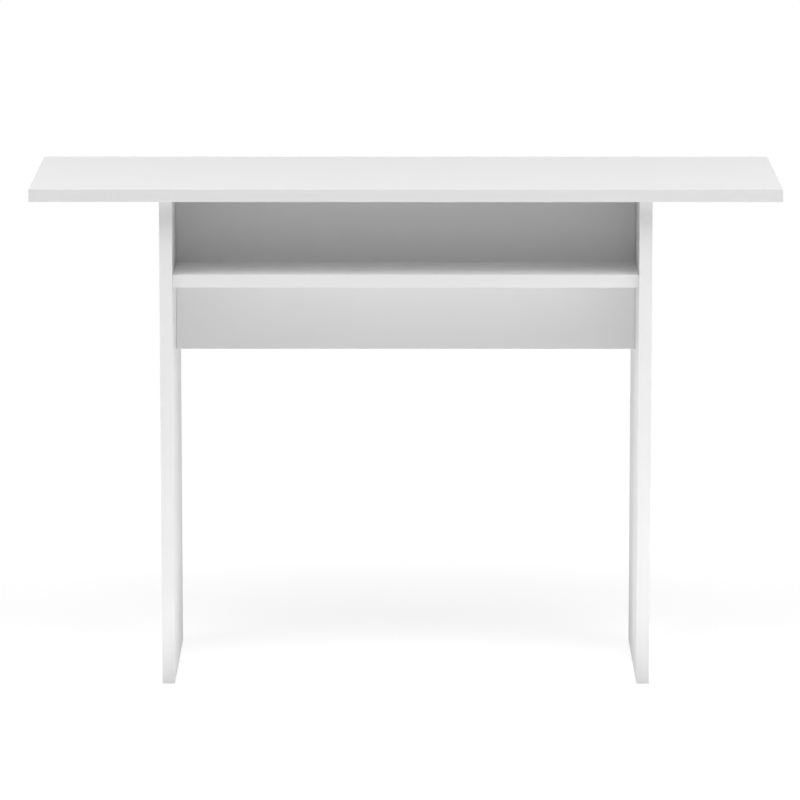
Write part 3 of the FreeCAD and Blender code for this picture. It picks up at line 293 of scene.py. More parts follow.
def finish_piece(piece, material, body, node):
    """Smooth a piece, give it its material, and set it in the table for its CAD node."""
    smooth(piece)
    dress(piece, material)
    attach(piece, body)
    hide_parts(node)


def edge_middle(edge):
    """The middle of an edge in millimetres."""
    return (edge.verts[0].co + edge.verts[1].co) / 2 / MM


ARRIS = 0.5
GLUE_LINE = 0.05
SAME_PLACE = 0.001 * MM


def band(name, low, high, outwards, material, body, node, rounded=lambda middle: True):
    """An edge band with a round along the outer face and a hairline where it meets the board.

    The outwards axis and sign say which face shows; rounded says which of its edges are milled.
    """
    strip = start_block(name, low, high)
    axis, sign = outwards
    outer = (high if sign > 0 else low)[axis] * MM

    def on_outer(edge):
        return all(abs(corner.co[axis] - outer) < SAME_PLACE for corner in edge.verts)

    def on_inner(edge):
        return all(abs(corner.co[axis] - outer) > SAME_PLACE for corner in edge.verts)

    pick("EDGE", lambda edge: on_outer(edge) and rounded(edge_middle(edge)))
    bpy.ops.mesh.bevel(offset=ARRIS * MM, segments=4, affect="EDGES")
    pick("EDGE", on_inner)
    bpy.ops.mesh.bevel(offset=GLUE_LINE * MM, segments=1, affect="EDGES")
    finish_piece(strip, material, body, node)
    return strip


def apply_pattern(tree, shader, pattern, colours=None, gloss=None, relief=None):
    """Let a pattern mix two colours, vary the roughness between two values, or raise a relief."""
    if colours is not None:
        tone = add_node(tree, "ShaderNodeMix", {
            "Factor": pattern,
            6: linear(colours[0]),
            7: linear(colours[1]),
        }, data_type="RGBA")
        tree.links.new(tone.outputs[2], shader.inputs["Base Color"])
    if gloss is not None:
        sheen = add_node(tree, "ShaderNodeMapRange", {
            "Value": pattern,
            "To Min": gloss[0],
            "To Max": gloss[1],
        })
        tree.links.new(sheen.outputs["Result"], shader.inputs["Roughness"])
    if relief is not None:
        raised = add_node(tree, "ShaderNodeMath", {0: pattern, 1: relief}, operation="MULTIPLY")
        bump = add_node(tree, "ShaderNodeBump", {"Height": raised.outputs[0], "Distance": 1.0})
        tree.links.new(bump.outputs["Normal"], shader.inputs["Normal"])


def edge_band_plastic(name, light, dark):
    """Extruded ABS: even white with a soft gloss and a very fine embossed grain."""
    material, tree, shader, place = new_material(name, roughness=0.5, ior=1.53)
    clouds = add_node(tree, "ShaderNodeTexNoise", {
        "Vector": place,
        "Scale": 1 / (70 * MM),
        "Detail": 2,
    })
    apply_pattern(tree, shader, clouds.outputs["Fac"], colours=(dark, light))
    # The embossed grain is about 0.4 mm wide and is drawn 1.2 mm wide, so that it shows.
    grain = add_node(tree, "ShaderNodeTexNoise", {
        "Vector": place,
        "Scale": 1 / (1.2 * MM),
        "Detail": 1,
    })
    apply_pattern(tree, shader, grain.outputs["Fac"], gloss=(0.46, 0.54), relief=0.01 * MM)
    return material


white_abs_band = edge_band_plastic("white_abs_edge_band", "#F0F0F0", "#EEEEEE")
(INNER_X, _, PANEL_FOOT), (OUTER_X, BASE_HALF_DEPTH, BASE_TOP) = corners("side_panel_right_edge_bands")
BAND = round(BASE_TOP - corners("side_panel_right")[1][2], 2)

for side, sign in (("left", -1), ("right", 1)):
    near, far = sorted((sign * INNER_X, sign * OUTER_X))
    node = f"side_panel_{side}_edge_bands"
    for row, way in (("front", -1), ("rear", 1)):
        front, rear = sorted((way * BASE_HALF_DEPTH, way * (BASE_HALF_DEPTH - BAND)))
        band(
            f"side_panel_{side}_{row}_band", (near, front, PANEL_FOOT), (far, rear, BASE_TOP),
            (1, way), white_abs_band, "base", node,
        )
    band(
        f"side_panel_{side}_top_band", (near, BAND - BASE_HALF_DEPTH, BASE_TOP - BAND),
        (far, BASE_HALF_DEPTH - BAND, BASE_TOP), (2, 1), white_abs_band, "base", node,
        rounded=lambda middle: abs(middle.y) < 1,
    )


# ---- Centre panel ----
# A board of the same stock, standing on edge between the legs.  The saw leaves its ends a touch
# undercut, so that a hairline shows where they meet the legs.

UNDERCUT_WIDTH, UNDERCUT_DEPTH = 0.6, 1.2
CAD_ROUNDING = 0.002 * MM
STILL_FLAT = math.radians(0.5)


def undercut_board(node, axis):
    """Replace a drilled board by a copy whose sawn ends are undercut along its two faces."""
    source = frame["nodes"][node]
    piece = source.copy()
    piece.data = source.data.copy()
    piece.parent = None
    # The copy brings along the marks of a CAD node, which it is not.
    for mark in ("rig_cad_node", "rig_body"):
        del piece[mark]
    piece.name = f"{node}_undercut"
    piece.data.name = piece.name
    bpy.context.collection.objects.link(piece)
    take_up(piece)
    low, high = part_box(node)
    bpy.ops.object.mode_set(mode="EDIT")
    bpy.ops.mesh.select_all(action="SELECT")
    bpy.ops.mesh.remove_doubles(threshold=CAD_ROUNDING)
    bpy.ops.mesh.dissolve_limited(angle_limit=STILL_FLAT)
    for inside in (low.x + UNDERCUT_WIDTH * MM, high.x - UNDERCUT_WIDTH * MM):
        bpy.ops.mesh.select_all(action="SELECT")
        bpy.ops.mesh.bisect(plane_co=(inside, 0, 0), plane_no=(1, 0, 0))

    def at_end_arris(corner):
        place = corner.co
        at_end = min(abs(place.x - low.x), abs(place.x - high.x)) < SAME_PLACE
        at_face = min(abs(place[axis] - low[axis]), abs(place[axis] - high[axis])) < SAME_PLACE
        return at_end and at_face

    pick("VERT", at_end_arris)
    squeeze = [1, 1, 1]
    squeeze[axis] = 1 - UNDERCUT_DEPTH * MM / (high[axis] - low[axis]) * 2
    bpy.ops.transform.resize(value=squeeze, center_override=(low + high) / 2)
    melamine = melamine_faced(node, axis, facing=UNDERCUT_DEPTH * MM)
    finish_piece(piece, melamine, "base", node)


undercut_board("centre_panel", axis=1)
low, high = corners("centre_panel_edge_bands")
CENTRE_FOOT, CENTRE_HALF = low[2], high[1]
band(
    "centre_panel_bottom_band", (-INNER_X, -CENTRE_HALF, CENTRE_FOOT),
    (INNER_X, CENTRE_HALF, CENTRE_FOOT + BAND), (2, -1), white_abs_band, "base",
    "centre_panel_edge_bands",
)
band(
    "centre_panel_top_band", (-INNER_X, -CENTRE_HALF, BASE_TOP - BAND),
    (INNER_X, CENTRE_HALF, BASE_TOP), (2, 1), white_abs_band, "base",
    "centre_panel_edge_bands", rounded=lambda middle: middle.y < 0,
)


# ---- Front shelf ----
# A narrow board of the same stock in front of the centre panel, at half its height, banded along
# the front; dowels, cams and three screws through the panel hold it.

undercut_board("front_shelf", axis=2)
low, high = corners("front_shelf_edge_band")
SHELF_FRONT, SHELF_UNDER, SHELF_TOP = low[1], low[2], high[2]
band(
    "front_shelf_front_band", low, high, (1, -1), white_abs_band, "base", "front_shelf_edge_band",
)


# ---- Pivot board ----
# The board behind the centre panel that carries the pivot; its upper face has the bush's hole
# and the routed quarter circle that the stop peg runs in.

dress(frame["nodes"]["pivot_board"], melamine_faced("pivot_board", axis=2))
low, high = corners("pivot_board_edge_band")
PIVOT_BOARD_REAR, PIVOT_BOARD_UNDER = high[1], low[2]
band(
    "pivot_board_rear_band", low, high, (1, 1), white_abs_band, "base", "pivot_board_edge_band",
)


# ---- Dowels ----
# Grooved beech pins, 8 mm thick and 33 mm long, pressed and fluted so that glue can run past
# them; each sits 10 mm deep in a board's face and 23 mm deep in another's end.

def start_ring(name, radius, level, sides, filled):
    """A ring or disc round the vertical axis, in edit mode, as the start of a turned piece."""
    take_up()
    bpy.ops.mesh.primitive_circle_add(
        vertices=sides, radius=radius * MM, location=(0, 0, level * MM),
        fill_type="NGON" if filled else "NOTHING",
    )
    ring = bpy.context.object
    ring.name = name
    ring.data.name = name
    bpy.ops.object.transform_apply(location=True, rotation=True, scale=True)
    bpy.ops.object.mode_set(mode="EDIT")
    bpy.ops.mesh.select_mode(type="VERT")
    bpy.ops.mesh.select_all(action="SELECT")
    return ring


def draw_out(profile):
    """Extrude the selected ring through the rest of a profile of radius and level."""
    for (radius, level), (next_radius, next_level) in zip(profile, profile[1:]):
        rise = (0, 0, (next_level - level) * MM)
        bpy.ops.mesh.extrude_region_move(TRANSFORM_OT_translate={"value": rise})
        share = next_radius / radius
        bpy.ops.transform.resize(value=(share, share, 1), center_override=(0, 0, next_level * MM))


def turned(name, profile, sides=48, bored=False):
    """A turned piece round the vertical axis, from a profile of radius and level in millimetres.

    A solid one runs from its underside up; a bored one goes right round its section.
    """
    piece = start_ring(name, *profile[0], sides, filled=not bored)
    draw_out(profile + profile[:1] if bored else profile)
    bpy.ops.mesh.select_all(action="SELECT")
    if bored:
        bpy.ops.mesh.remove_doubles(threshold=SAME_PLACE)
    bpy.ops.mesh.normals_make_consistent(inside=False)
    return piece


def set_down(piece, place, direction):
    """Move a piece modelled on the vertical axis to its place, with its top turned its way."""
    take_up(piece)
    turn = Vector((0, 0, 1)).rotation_difference(Vector(direction)).to_matrix().to_4x4()
    piece.matrix_world = Matrix.Translation(Vector(place) * MM) @ turn
    bpy.ops.object.transform_apply(location=True, rotation=True, scale=True)


def set_copies(pattern, name, places, material, body, node):
    """Copies of a pattern piece, each with its own mesh, at its place and turned its way."""
    smooth(pattern)
    dress(pattern, material)
    for index, (place, direction) in enumerate(places, start=1):
        copy = pattern.copy()
        copy.data = pattern.data.copy()
        copy.name = f"{name}_{index}" if len(places) > 1 else name
        copy.data.name = copy.name
        bpy.context.collection.objects.link(copy)
        set_down(copy, place, direction)
        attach(copy, body)
        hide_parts(node)
    bpy.data.objects.remove(pattern)


def beech(name, grain):
    """Steamed beech: pale reddish brown with short dark flecks, its grain along the pin."""
    material, tree, shader, place = new_material(name, roughness=0.62)
    stretched = add_node(tree, "ShaderNodeMapping", {"Vector": place, "Scale": grain})
    rings = add_node(tree, "ShaderNodeTexNoise", {
        "Vector": stretched.outputs["Vector"],
        "Scale": 1,
        "Detail": 4,
    })
    apply_pattern(
        tree, shader, rings.outputs["Fac"], colours=("#B98F62", "#DDBB8E"), relief=0.08 * MM,
    )
    return material


# Growth rings in a pin are about 1.5 mm apart and run on for its whole length.
RINGS_ACROSS, RINGS_ALONG = 1 / (1.5 * MM), 1 / (25 * MM)
beech_along_x = beech("beech_grain_along_x", (RINGS_ALONG, RINGS_ACROSS, RINGS_ACROSS))
beech_along_y = beech("beech_grain_along_y", (RINGS_ACROSS, RINGS_ALONG, RINGS_ACROSS))

DOWEL_RADIUS, DOWEL_CHAMFER = 4, 1
DOWEL_IN_FACE, DOWEL_IN_EDGE = 10, 23
FLUTES, FLUTE_SHARE = 24, 0.93


def fluted_dowel():
    """A dowel round the vertical axis: flutes pressed into a ring, which is then drawn out."""
    dowel = start_ring("dowel", DOWEL_RADIUS, -DOWEL_IN_FACE, 2 * FLUTES, filled=True)
    ring_middle = (0, 0, -DOWEL_IN_FACE * MM)
    step = math.pi / FLUTES
    pick("VERT", lambda corner: round(math.atan2(corner.co.x, corner.co.y) / step) % 2 == 1)
    bpy.ops.transform.resize(value=(FLUTE_SHARE, FLUTE_SHARE, 1), center_override=ring_middle)
    bpy.ops.mesh.select_all(action="SELECT")
    tip = DOWEL_RADIUS - DOWEL_CHAMFER
    share = tip / DOWEL_RADIUS
    bpy.ops.transform.resize(value=(share, share, 1), center_override=ring_middle)
    draw_out([
        (tip, -DOWEL_IN_FACE),
        (DOWEL_RADIUS, DOWEL_CHAMFER - DOWEL_IN_FACE),
        (DOWEL_RADIUS, DOWEL_IN_EDGE - DOWEL_CHAMFER),
        (tip, DOWEL_IN_EDGE),
    ])
    bpy.ops.mesh.select_all(action="SELECT")
    bpy.ops.mesh.normals_make_consistent(inside=False)
    return dowel


def at_both_legs(rows):
    """Places on both legs' inner faces, each pointing into the board between the legs."""
    return [((-way * INNER_X, y, z), (way, 0, 0)) for way in (1, -1) for y, z in rows]


SHELF_CENTRE_Y, SHELF_MIDDLE = (SHELF_FRONT - CENTRE_HALF) / 2, (SHELF_UNDER + SHELF_TOP) / 2
PIVOT_BOARD_CENTRE_Y = (CENTRE_HALF + PIVOT_BOARD_REAR) / 2
PIVOT_BOARD_MIDDLE = (PIVOT_BOARD_UNDER + BASE_TOP) / 2
DOWEL_INSET, DOWEL_SPREAD = 75, 40
SHELF_REAR_DOWELS = (-125, 125)
PIVOT_BOARD_FRONT_DOWELS = (-280, -130, 130, 280)
for name, node, wood, places in (
    ("centre_panel_dowel", "centre_panel_dowels", beech_along_x, at_both_legs([
        (0, CENTRE_FOOT + DOWEL_INSET), (0, BASE_TOP - DOWEL_INSET),
    ])),
    ("shelf_end_dowel", "shelf_dowels", beech_along_x, at_both_legs([
        (SHELF_CENTRE_Y + shift, SHELF_MIDDLE) for shift in (-DOWEL_SPREAD, DOWEL_SPREAD)
    ])),
    ("shelf_rear_dowel", "shelf_dowels", beech_along_y, [
        ((x, -CENTRE_HALF, SHELF_MIDDLE), (0, -1, 0)) for x in SHELF_REAR_DOWELS
    ]),
    ("pivot_board_end_dowel", "pivot_board_dowels", beech_along_x, at_both_legs([
        (PIVOT_BOARD_CENTRE_Y + shift, PIVOT_BOARD_MIDDLE) for shift in (-DOWEL_SPREAD, DOWEL_SPREAD)
    ])),
    ("pivot_board_front_dowel", "pivot_board_dowels", beech_along_y, [
        ((x, CENTRE_HALF, PIVOT_BOARD_MIDDLE), (0, 1, 0)) for x in PIVOT_BOARD_FRONT_DOWELS
    ]),
):
    set_copies(fluted_dowel(), name, places, wood, "base", node)


# ---- Cam nuts ----
# Die-cast zinc drums, 15 mm across, dropped into a board's face beside its end; a turn of the
# screwdriver cross pulls the bolt's head in.

def zinc_casting():
    """Raw die-cast zinc: dull grey metal with the fine pitting of the mould."""
    material, tree, shader, place = new_material("die_cast_zinc", roughness=0.5, metallic=1.0)
    shader.inputs["Base Color"].default_value = linear("#A6A8AB")
    pits = add_node(tree, "ShaderNodeTexNoise", {
        "Vector": place,
        "Scale": 1 / (0.7 * MM),
        "Detail": 3,
    })
    apply_pattern(tree, shader, pits.outputs["Fac"], gloss=(0.4, 0.62), relief=0.06 * MM)
    return material


die_cast_zinc = zinc_casting()
for node in ("centre_panel_cam_nuts", "shelf_cam_nuts", "pivot_board_cam_nuts"):
    dress(frame["nodes"][node], die_cast_zinc)


# ---- Cam bolts ----
# Zinc-plated steel bolts: a coarse thread screwed into one board, a collar against its face, and
# a ball head on a thin neck that the cam nut grips.

def zinc_plating():
    """Zinc-plated steel: bright smooth metal with soft clouds in the passivated coat."""
    material, tree, shader, place = new_material("zinc_plated_steel", roughness=0.3, metallic=1.0)
    clouds = add_node(tree, "ShaderNodeTexNoise", {
        "Vector": place,
        "Scale": 1 / (4 * MM),
        "Detail": 2,
    })
    apply_pattern(
        tree, shader, clouds.outputs["Fac"], colours=("#C9CCD0", "#BDBFBB"), gloss=(0.24, 0.38),
    )
    return material


zinc_plated = zinc_plating()
RIDGE_SHARE, RIDGE_SUNK = 0.42, 0.1
TURN_STEPS = 16


def add_thread(piece, core, crest, pitch, start, end):
    """Wind a right-handed ridge of triangular section round a finished shank and join it on.

    Half the ridge's width is a share of the pitch, and its root is sunk into the shank.
    """
    take_up()
    bpy.ops.mesh.primitive_circle_add(vertices=3, radius=MM)
    ridge = bpy.context.object
    root = core - RIDGE_SUNK
    half = pitch * RIDGE_SHARE
    section = ((root, start), (crest, start + half), (root, start + 2 * half))
    for corner, (radius, level) in zip(ridge.data.vertices, section):
        corner.co = (radius * MM, 0, level * MM)
    winding = ridge.modifiers.new("winding", "SCREW")
    winding.axis = "Z"
    winding.screw_offset = pitch * MM
    winding.iterations = max(1, int((end - start) / pitch) - 1)
    winding.steps = TURN_STEPS
    winding.render_steps = TURN_STEPS
    winding.use_smooth_shade = False
    bpy.ops.object.modifier_apply(modifier="winding")
    bpy.ops.object.mode_set(mode="EDIT")
    bpy.ops.mesh.select_all(action="SELECT")
    bpy.ops.mesh.fill_holes(sides=3)
    bpy.ops.mesh.select_all(action="SELECT")
    bpy.ops.mesh.normals_make_consistent(inside=False)
    take_up(piece)
    ridge.select_set(True)
    bpy.ops.object.join()
    bpy.ops.object.mode_set(mode="EDIT")


def cam_bolt():
    """A cam bolt on the face it screws into, its thread below and its head above."""
    bolt = turned("cam_bolt", [
        (1.2, -11), (2.2, -10), (2.2, 0), (3.4, 0), (3.6, 0.2), (3.6, 1.3), (3.4, 1.5), (2.5, 1.5),
        (2.5, 29.2), (1.7, 29.5), (1.7, 32.5), (2.7, 32.5), (3.1, 33.0), (3.1, 35.0), (2.6, 35.5),
    ], sides=32)
    add_thread(bolt, core=2.2, crest=2.9, pitch=1.6, start=-10.2, end=-0.1)
    return bolt


CAM_INSET = 40
CENTRE_CAM_LEVELS = (CENTRE_FOOT + CAM_INSET, BASE_TOP - CAM_INSET)
FRONT_CAM_COLUMNS = (-220, 220)
for board, places in (
    ("centre_panel", at_both_legs([(0, level) for level in CENTRE_CAM_LEVELS])),
    ("shelf", at_both_legs([(SHELF_CENTRE_Y, SHELF_MIDDLE)])),
    ("pivot_board", at_both_legs([(PIVOT_BOARD_CENTRE_Y, PIVOT_BOARD_MIDDLE)]) + [
        ((x, CENTRE_HALF, PIVOT_BOARD_MIDDLE), (0, 1, 0)) for x in FRONT_CAM_COLUMNS
    ]),
):
    set_copies(
        cam_bolt(), f"{board}_cam_bolt", places, zinc_plated, "base", f"{board}_cam_bolts",
    )


# ---- Cover caps ----
# Thin white discs moulded in plastic, pressed over the cam nuts and the screw heads; the middle
# of each has the small mark that the mould's gate leaves.

def moulded_plastic(name, colour, roughness, scatter=0.0):
    """Injection-moulded plastic: even colour, a soft gloss and the faint ripple of the mould."""
    material, tree, shader, place = new_material(name, roughness=roughness)
    shader.inputs["Base Color"].default_value = linear(colour)
    shader.inputs["Subsurface Weight"].default_value = scatter
    shader.inputs["Subsurface Radius"].default_value = (1.0, 0.9, 0.8)
    shader.inputs["Subsurface Scale"].default_value = MM
    ripple = add_node(tree, "ShaderNodeTexNoise", {
        "Vector": place,
        "Scale": 1 / (1.8 * MM),
        "Detail": 1,
    })
    apply_pattern(
        tree, shader, ripple.outputs["Fac"],
        gloss=(roughness - 0.05, roughness + 0.06), relief=0.02 * MM,
    )
    return material


white_polythene = moulded_plastic("white_polythene_cap", "#EDEDEB", 0.36)


def arc(radius, level, size, first, last, steps=4):
    """Points of a profile along a round, with its angles in degrees from outwards to upwards."""
    turns = [math.radians(first + (last - first) * step / steps) for step in range(steps + 1)]
    return [(radius + size * math.cos(turn), level + size * math.sin(turn)) for turn in turns]


def cover_cap(name, radius, height, spigot_radius, spigot_length):
    """A cap lying on a face, its spigot below and its rounded rim above."""
    rim = 0.75 * height
    return turned(name, [
        (spigot_radius - 0.3, -spigot_length), (spigot_radius, 0.3 - spigot_length),
        (spigot_radius, 0), (radius, 0),
        *arc(radius - rim, height - rim, rim, 0, 90),
        (1.1, height), (0.9, height - 0.2), (0.05, height - 0.2),
    ], sides=64)


CAM_SETBACK = 34
CAM_X = INNER_X - CAM_SETBACK
set_copies(
    cover_cap("cam_cover_cap", radius=8.5, height=0.8, spigot_radius=7.2, spigot_length=1.2),
    "cam_cover_cap",
    [((x, CENTRE_HALF, level), (0, 1, 0)) for x in (-CAM_X, CAM_X) for level in CENTRE_CAM_LEVELS]
    + [((x, SHELF_CENTRE_Y, SHELF_UNDER), (0, 0, -1)) for x in (-CAM_X, CAM_X)]
    + [((x, PIVOT_BOARD_CENTRE_Y, PIVOT_BOARD_UNDER), (0, 0, -1)) for x in (-CAM_X, CAM_X)]
    + [((x, CENTRE_HALF + CAM_SETBACK, PIVOT_BOARD_UNDER), (0, 0, -1)) for x in FRONT_CAM_COLUMNS],
    white_polythene, "base", "cam_cover_caps",
)
SHELF_SCREW_COLUMNS = (-250, 0, 250)
set_copies(
    cover_cap("screw_cover_cap", radius=6.5, height=1.0, spigot_radius=1.8, spigot_length=2.0),
    "screw_cover_cap",
    [((x, CENTRE_HALF, SHELF_MIDDLE), (0, 1, 0)) for x in SHELF_SCREW_COLUMNS],
    white_polythene, "base", "confirmat_cover_caps",
)


# ---- Shelf screws ----
# One-piece furniture screws with a hexagon socket, driven through the centre panel into the
# shelf's rear edge.

def cut_away(piece, cutter, operation="DIFFERENCE"):
    """Cut, join or intersect a piece with another, which is used up."""
    take_up(piece)
    tool = piece.modifiers.new("tool", "BOOLEAN")
    tool.operation = operation
    tool.solver = "EXACT"
    tool.object = cutter
    bpy.ops.object.modifier_apply(modifier="tool")
    bpy.data.objects.remove(cutter)
    bpy.ops.object.mode_set(mode="EDIT")


SOCKET_RADIUS, SOCKET_DEPTH = 2.3, 3
shelf_screw = turned("shelf_screw", [
    (4.7, 0), (5, 0.3), (5, 1.25), (3.4, 2.5), (3.4, 19), (2.0, 20), (2.0, 47.4), (0.3, 50),
], sides=36)
cut_away(shelf_screw, turned("hexagon_socket", [
    (SOCKET_RADIUS, -1), (SOCKET_RADIUS, SOCKET_DEPTH), (0.4, SOCKET_DEPTH + 0.8),
], sides=6))
add_thread(shelf_screw, core=2.0, crest=2.6, pitch=3, start=20.2, end=48)
set_copies(
    shelf_screw, "shelf_confirmat_screw",
    [((x, CENTRE_HALF, SHELF_MIDDLE), (0, -1, 0)) for x in SHELF_SCREW_COLUMNS],
    zinc_plated, "base", "shelf_confirmat_screws",
)


# ---- Glides and their nails ----
# Natural nylon discs nailed under the legs, so that the table slides over a floor without
# marking it; the nail's head sits deep in the disc.

natural_nylon = moulded_plastic("natural_nylon", "#E4E2DA", 0.45, scatter=0.25)
LEG_MIDDLE = (INNER_X + OUTER_X) / 2


def on_legs(inset, level):
    """Places on the middle of both legs' edges, an inset from their front and rear."""
    return [
        ((x, y, level), (0, 0, 1))
        for x in (-LEG_MIDDLE, LEG_MIDDLE)
        for y in (inset - BASE_HALF_DEPTH, BASE_HALF_DEPTH - inset)
    ]


GLIDE_INSET = 25
set_copies(
    turned("glide", [
        (2.55, 0.3), (2.85, 0), *arc(7.2, 0.8, 0.8, -90, 0), (8, 2), (1.15, 2), (1.15, 1.5), (2.55, 1.5),
    ], bored=True),
    "floor_glide", on_legs(GLIDE_INSET, 0), natural_nylon, "base", "floor_glides",
)
set_copies(
    turned("nail", [
        (2.2, 0.7), (2.5, 0.95), (2.5, 1.3), (2.3, 1.5), (1.1, 1.5), (1.1, 15.5), (0.1, 17.7),
    ], sides=28),
    "floor_glide_nail", on_legs(GLIDE_INSET, 0), zinc_plated, "base", "floor_glide_nails",
)


# ---- Slide pads ----
# Low nylon buttons, moulded with a barbed stem and pushed into holes in the base's top edges;
# the folded top slides on them as it turns.

PAD_INSET = 18
CENTRE_PAD_COLUMNS = (-250, 0, 250)
BARBED_STEM = [(1.6, -10), (2.5, -8.5), (2.1, -8.4), (2.5, -6.5), (2.1, -6.4), (2.5, -4.5), (2.1, -4.4)]
set_copies(
    turned("slide_pad", BARBED_STEM + [
        (2.1, 0), (5.8, 0), (6, 0.2), *arc(5.2, 0.5, 0.8, 0, 90), (0.05, 1.3),
    ]),
    "slide_pad",
    on_legs(PAD_INSET, BASE_TOP) + [((x, 0, BASE_TOP), (0, 0, 1)) for x in CENTRE_PAD_COLUMNS],
    natural_nylon, "base", "slide_pads",
)


# ---- Pivot bush and thrust washer ----
# A flanged nylon bush pressed into the pivot board from above, and the nylon washer that the
# pivot is drawn up against below.

def middle_of(node):
    """The middle of a CAD node in millimetres."""
    return [(a + b) / 2 for a, b in zip(*corners(node))]


def foot_of(node):
    """The level of a CAD node's underside in millimetres."""
    return corners(node)[0][2]


PIVOT_X, PIVOT_Y, _ = middle_of("pivot_flange")


def on_pivot(level):
    """The one place on the pivot's axis at a level."""
    return [((PIVOT_X, PIVOT_Y, level), (0, 0, 1))]


set_copies(
    turned("bush", [
        (5.05, -18.8), (5.25, -19), (6.6, -19), (7, -18.4), (7, 0), (14.8, 0), (15, 0.2),
        *arc(14.6, 0.9, 0.4, 0, 90), (5.35, 1.3), (5.05, 1.0),
    ], sides=64, bored=True),
    "pivot_bush_moulding", on_pivot(BASE_TOP), natural_nylon, "base", "pivot_bush",
)
set_copies(
    turned("thrust_washer", [
        (5.25, 0), (14.7, 0), (15, 0.3), (15, 1.3), (14.8, 1.5), (5.25, 1.5),
    ], sides=64, bored=True),
    "pivot_thrust_washer_ring", on_pivot(foot_of("pivot_thrust_washer")),
    natural_nylon, "base", "pivot_thrust_washer",
)


# ---- Leaves ----
# The folded top: two thin boards of the same melamine stock, banded on all four edges.  They lie
# face to face and their mating corners are left square, so that the top looks like one board.

leaf_abs_band = edge_band_plastic("white_abs_leaf_band", "#E8E8E8", "#E6E6E6")
LEAF_UNDER = foot_of("lower_leaf_edge_bands")
TOP_HALF_LENGTH, TOP_HALF_DEPTH, TOP_LEVEL = corners("upper_leaf_edge_bands")[1]
# The bands all but close the gap that the CAD leaves between the leaves.
LEAVES_MEET = middle_of("hinge_pins")[2]
SEAM_HALF = 0.02
HINGE_COLUMNS = {
    column: middle_of(f"hinge_lower_plate_{column}")[0]
    for column in ("left_outer", "left_inner", "right_inner", "right_outer")
}
NOTCH_HALF, NOTCH_DEPTH, OVERCUT = 25.1, 2.7, 2
SAME_LEVEL = 0.01

for leaf, body, under, top, inwards in (
    ("lower_leaf", "swivel_leaf", LEAF_UNDER, LEAVES_MEET - SEAM_HALF, 1),
    ("upper_leaf", "flap_leaf", LEAVES_MEET + SEAM_HALF, TOP_LEVEL, -1),
):
    dress(frame["nodes"][leaf], melamine_faced(leaf, axis=2))
    outer_level, mating_level = (under, top) if inwards > 0 else (top, under)
    node = f"{leaf}_edge_bands"
    for side, sign in (("left", -1), ("right", 1)):
        near, far = sorted((sign * (TOP_HALF_LENGTH - BAND), sign * TOP_HALF_LENGTH))
        band(
            f"{leaf}_{side}_band", (near, BAND - TOP_HALF_DEPTH, under),
            (far, TOP_HALF_DEPTH - BAND, top), (0, sign), leaf_abs_band, body, node,
            rounded=lambda middle: abs(middle.z - outer_level) < SAME_LEVEL,
        )
    for row, way in (("front", -1), ("rear", 1)):
        front, rear = sorted((way * TOP_HALF_DEPTH, way * (TOP_HALF_DEPTH - BAND)))
        strip = band(
            f"{leaf}_{row}_band", (-TOP_HALF_LENGTH, front, under), (TOP_HALF_LENGTH, rear, top),
            (1, way), leaf_abs_band, body, node,
            rounded=lambda middle: abs(middle.z - mating_level) > SAME_LEVEL,
        )
    # The last strip is the rear one, which is notched for the hinges' knuckles.
    notch_low, notch_high = sorted((
        mating_level - inwards * NOTCH_DEPTH, mating_level + inwards * OVERCUT,
    ))
    for column in HINGE_COLUMNS.values():
        cut_away(strip, start_block(
            "notch_cutter", (column - NOTCH_HALF, TOP_HALF_DEPTH - OVERCUT, notch_low),
            (column + NOTCH_HALF, TOP_HALF_DEPTH + OVERCUT, notch_high),
        ))
    smooth(strip)


# ---- Pivot under the lower leaf ----
# A zinc-plated flange let into the leaf's underside, with a welded stud that passes down through
# the bush; washers and a lock nut with a nylon ring hold it up against the pivot board.

FLANGE_RADIUS, STUD_RADIUS, STUD_CHAMFER = 35, 5, 0.8
stud_foot = foot_of("pivot_flange") - LEAF_UNDER
flange = turned("flange", [
    (STUD_RADIUS - STUD_CHAMFER, stud_foot), (STUD_RADIUS, stud_foot + STUD_CHAMFER),
    (STUD_RADIUS, 0), (FLANGE_RADIUS - 0.3, 0), (FLANGE_RADIUS, 0.3), (FLANGE_RADIUS, 1.8),
    (FLANGE_RADIUS - 0.2, 2),
], sides=96)
FLANGE_SCREWS, FLANGE_SCREW_CIRCLE = 6, 26
flange_screw_places = []
for index in range(FLANGE_SCREWS):
    turn = math.radians(360 / FLANGE_SCREWS * index)
    x, y = FLANGE_SCREW_CIRCLE * math.cos(turn), FLANGE_SCREW_CIRCLE * math.sin(turn)
    flange_screw_places.append(((PIVOT_X + x, PIVOT_Y + y, LEAF_UNDER), (0, 0, 1)))
    sink = turned("sink", [(3.9, -0.33), (1.85, 1.72), (1.85, 3)], sides=32)
    bpy.ops.transform.translate(value=(x * MM, y * MM, 0))
    cut_away(flange, sink)
set_copies(
    flange, "pivot_flange_and_stud", on_pivot(LEAF_UNDER),
    zinc_plated, "swivel_leaf", "pivot_flange",
)

# A screwdriver cross is two crossed blades that taper inwards; its sizes are shares of the
# head's radius.
CROSS_SPAN, CROSS_BLADE, CROSS_DEPTH, CROSS_TAPER = 1.15, 0.24, 0.42, 0.55


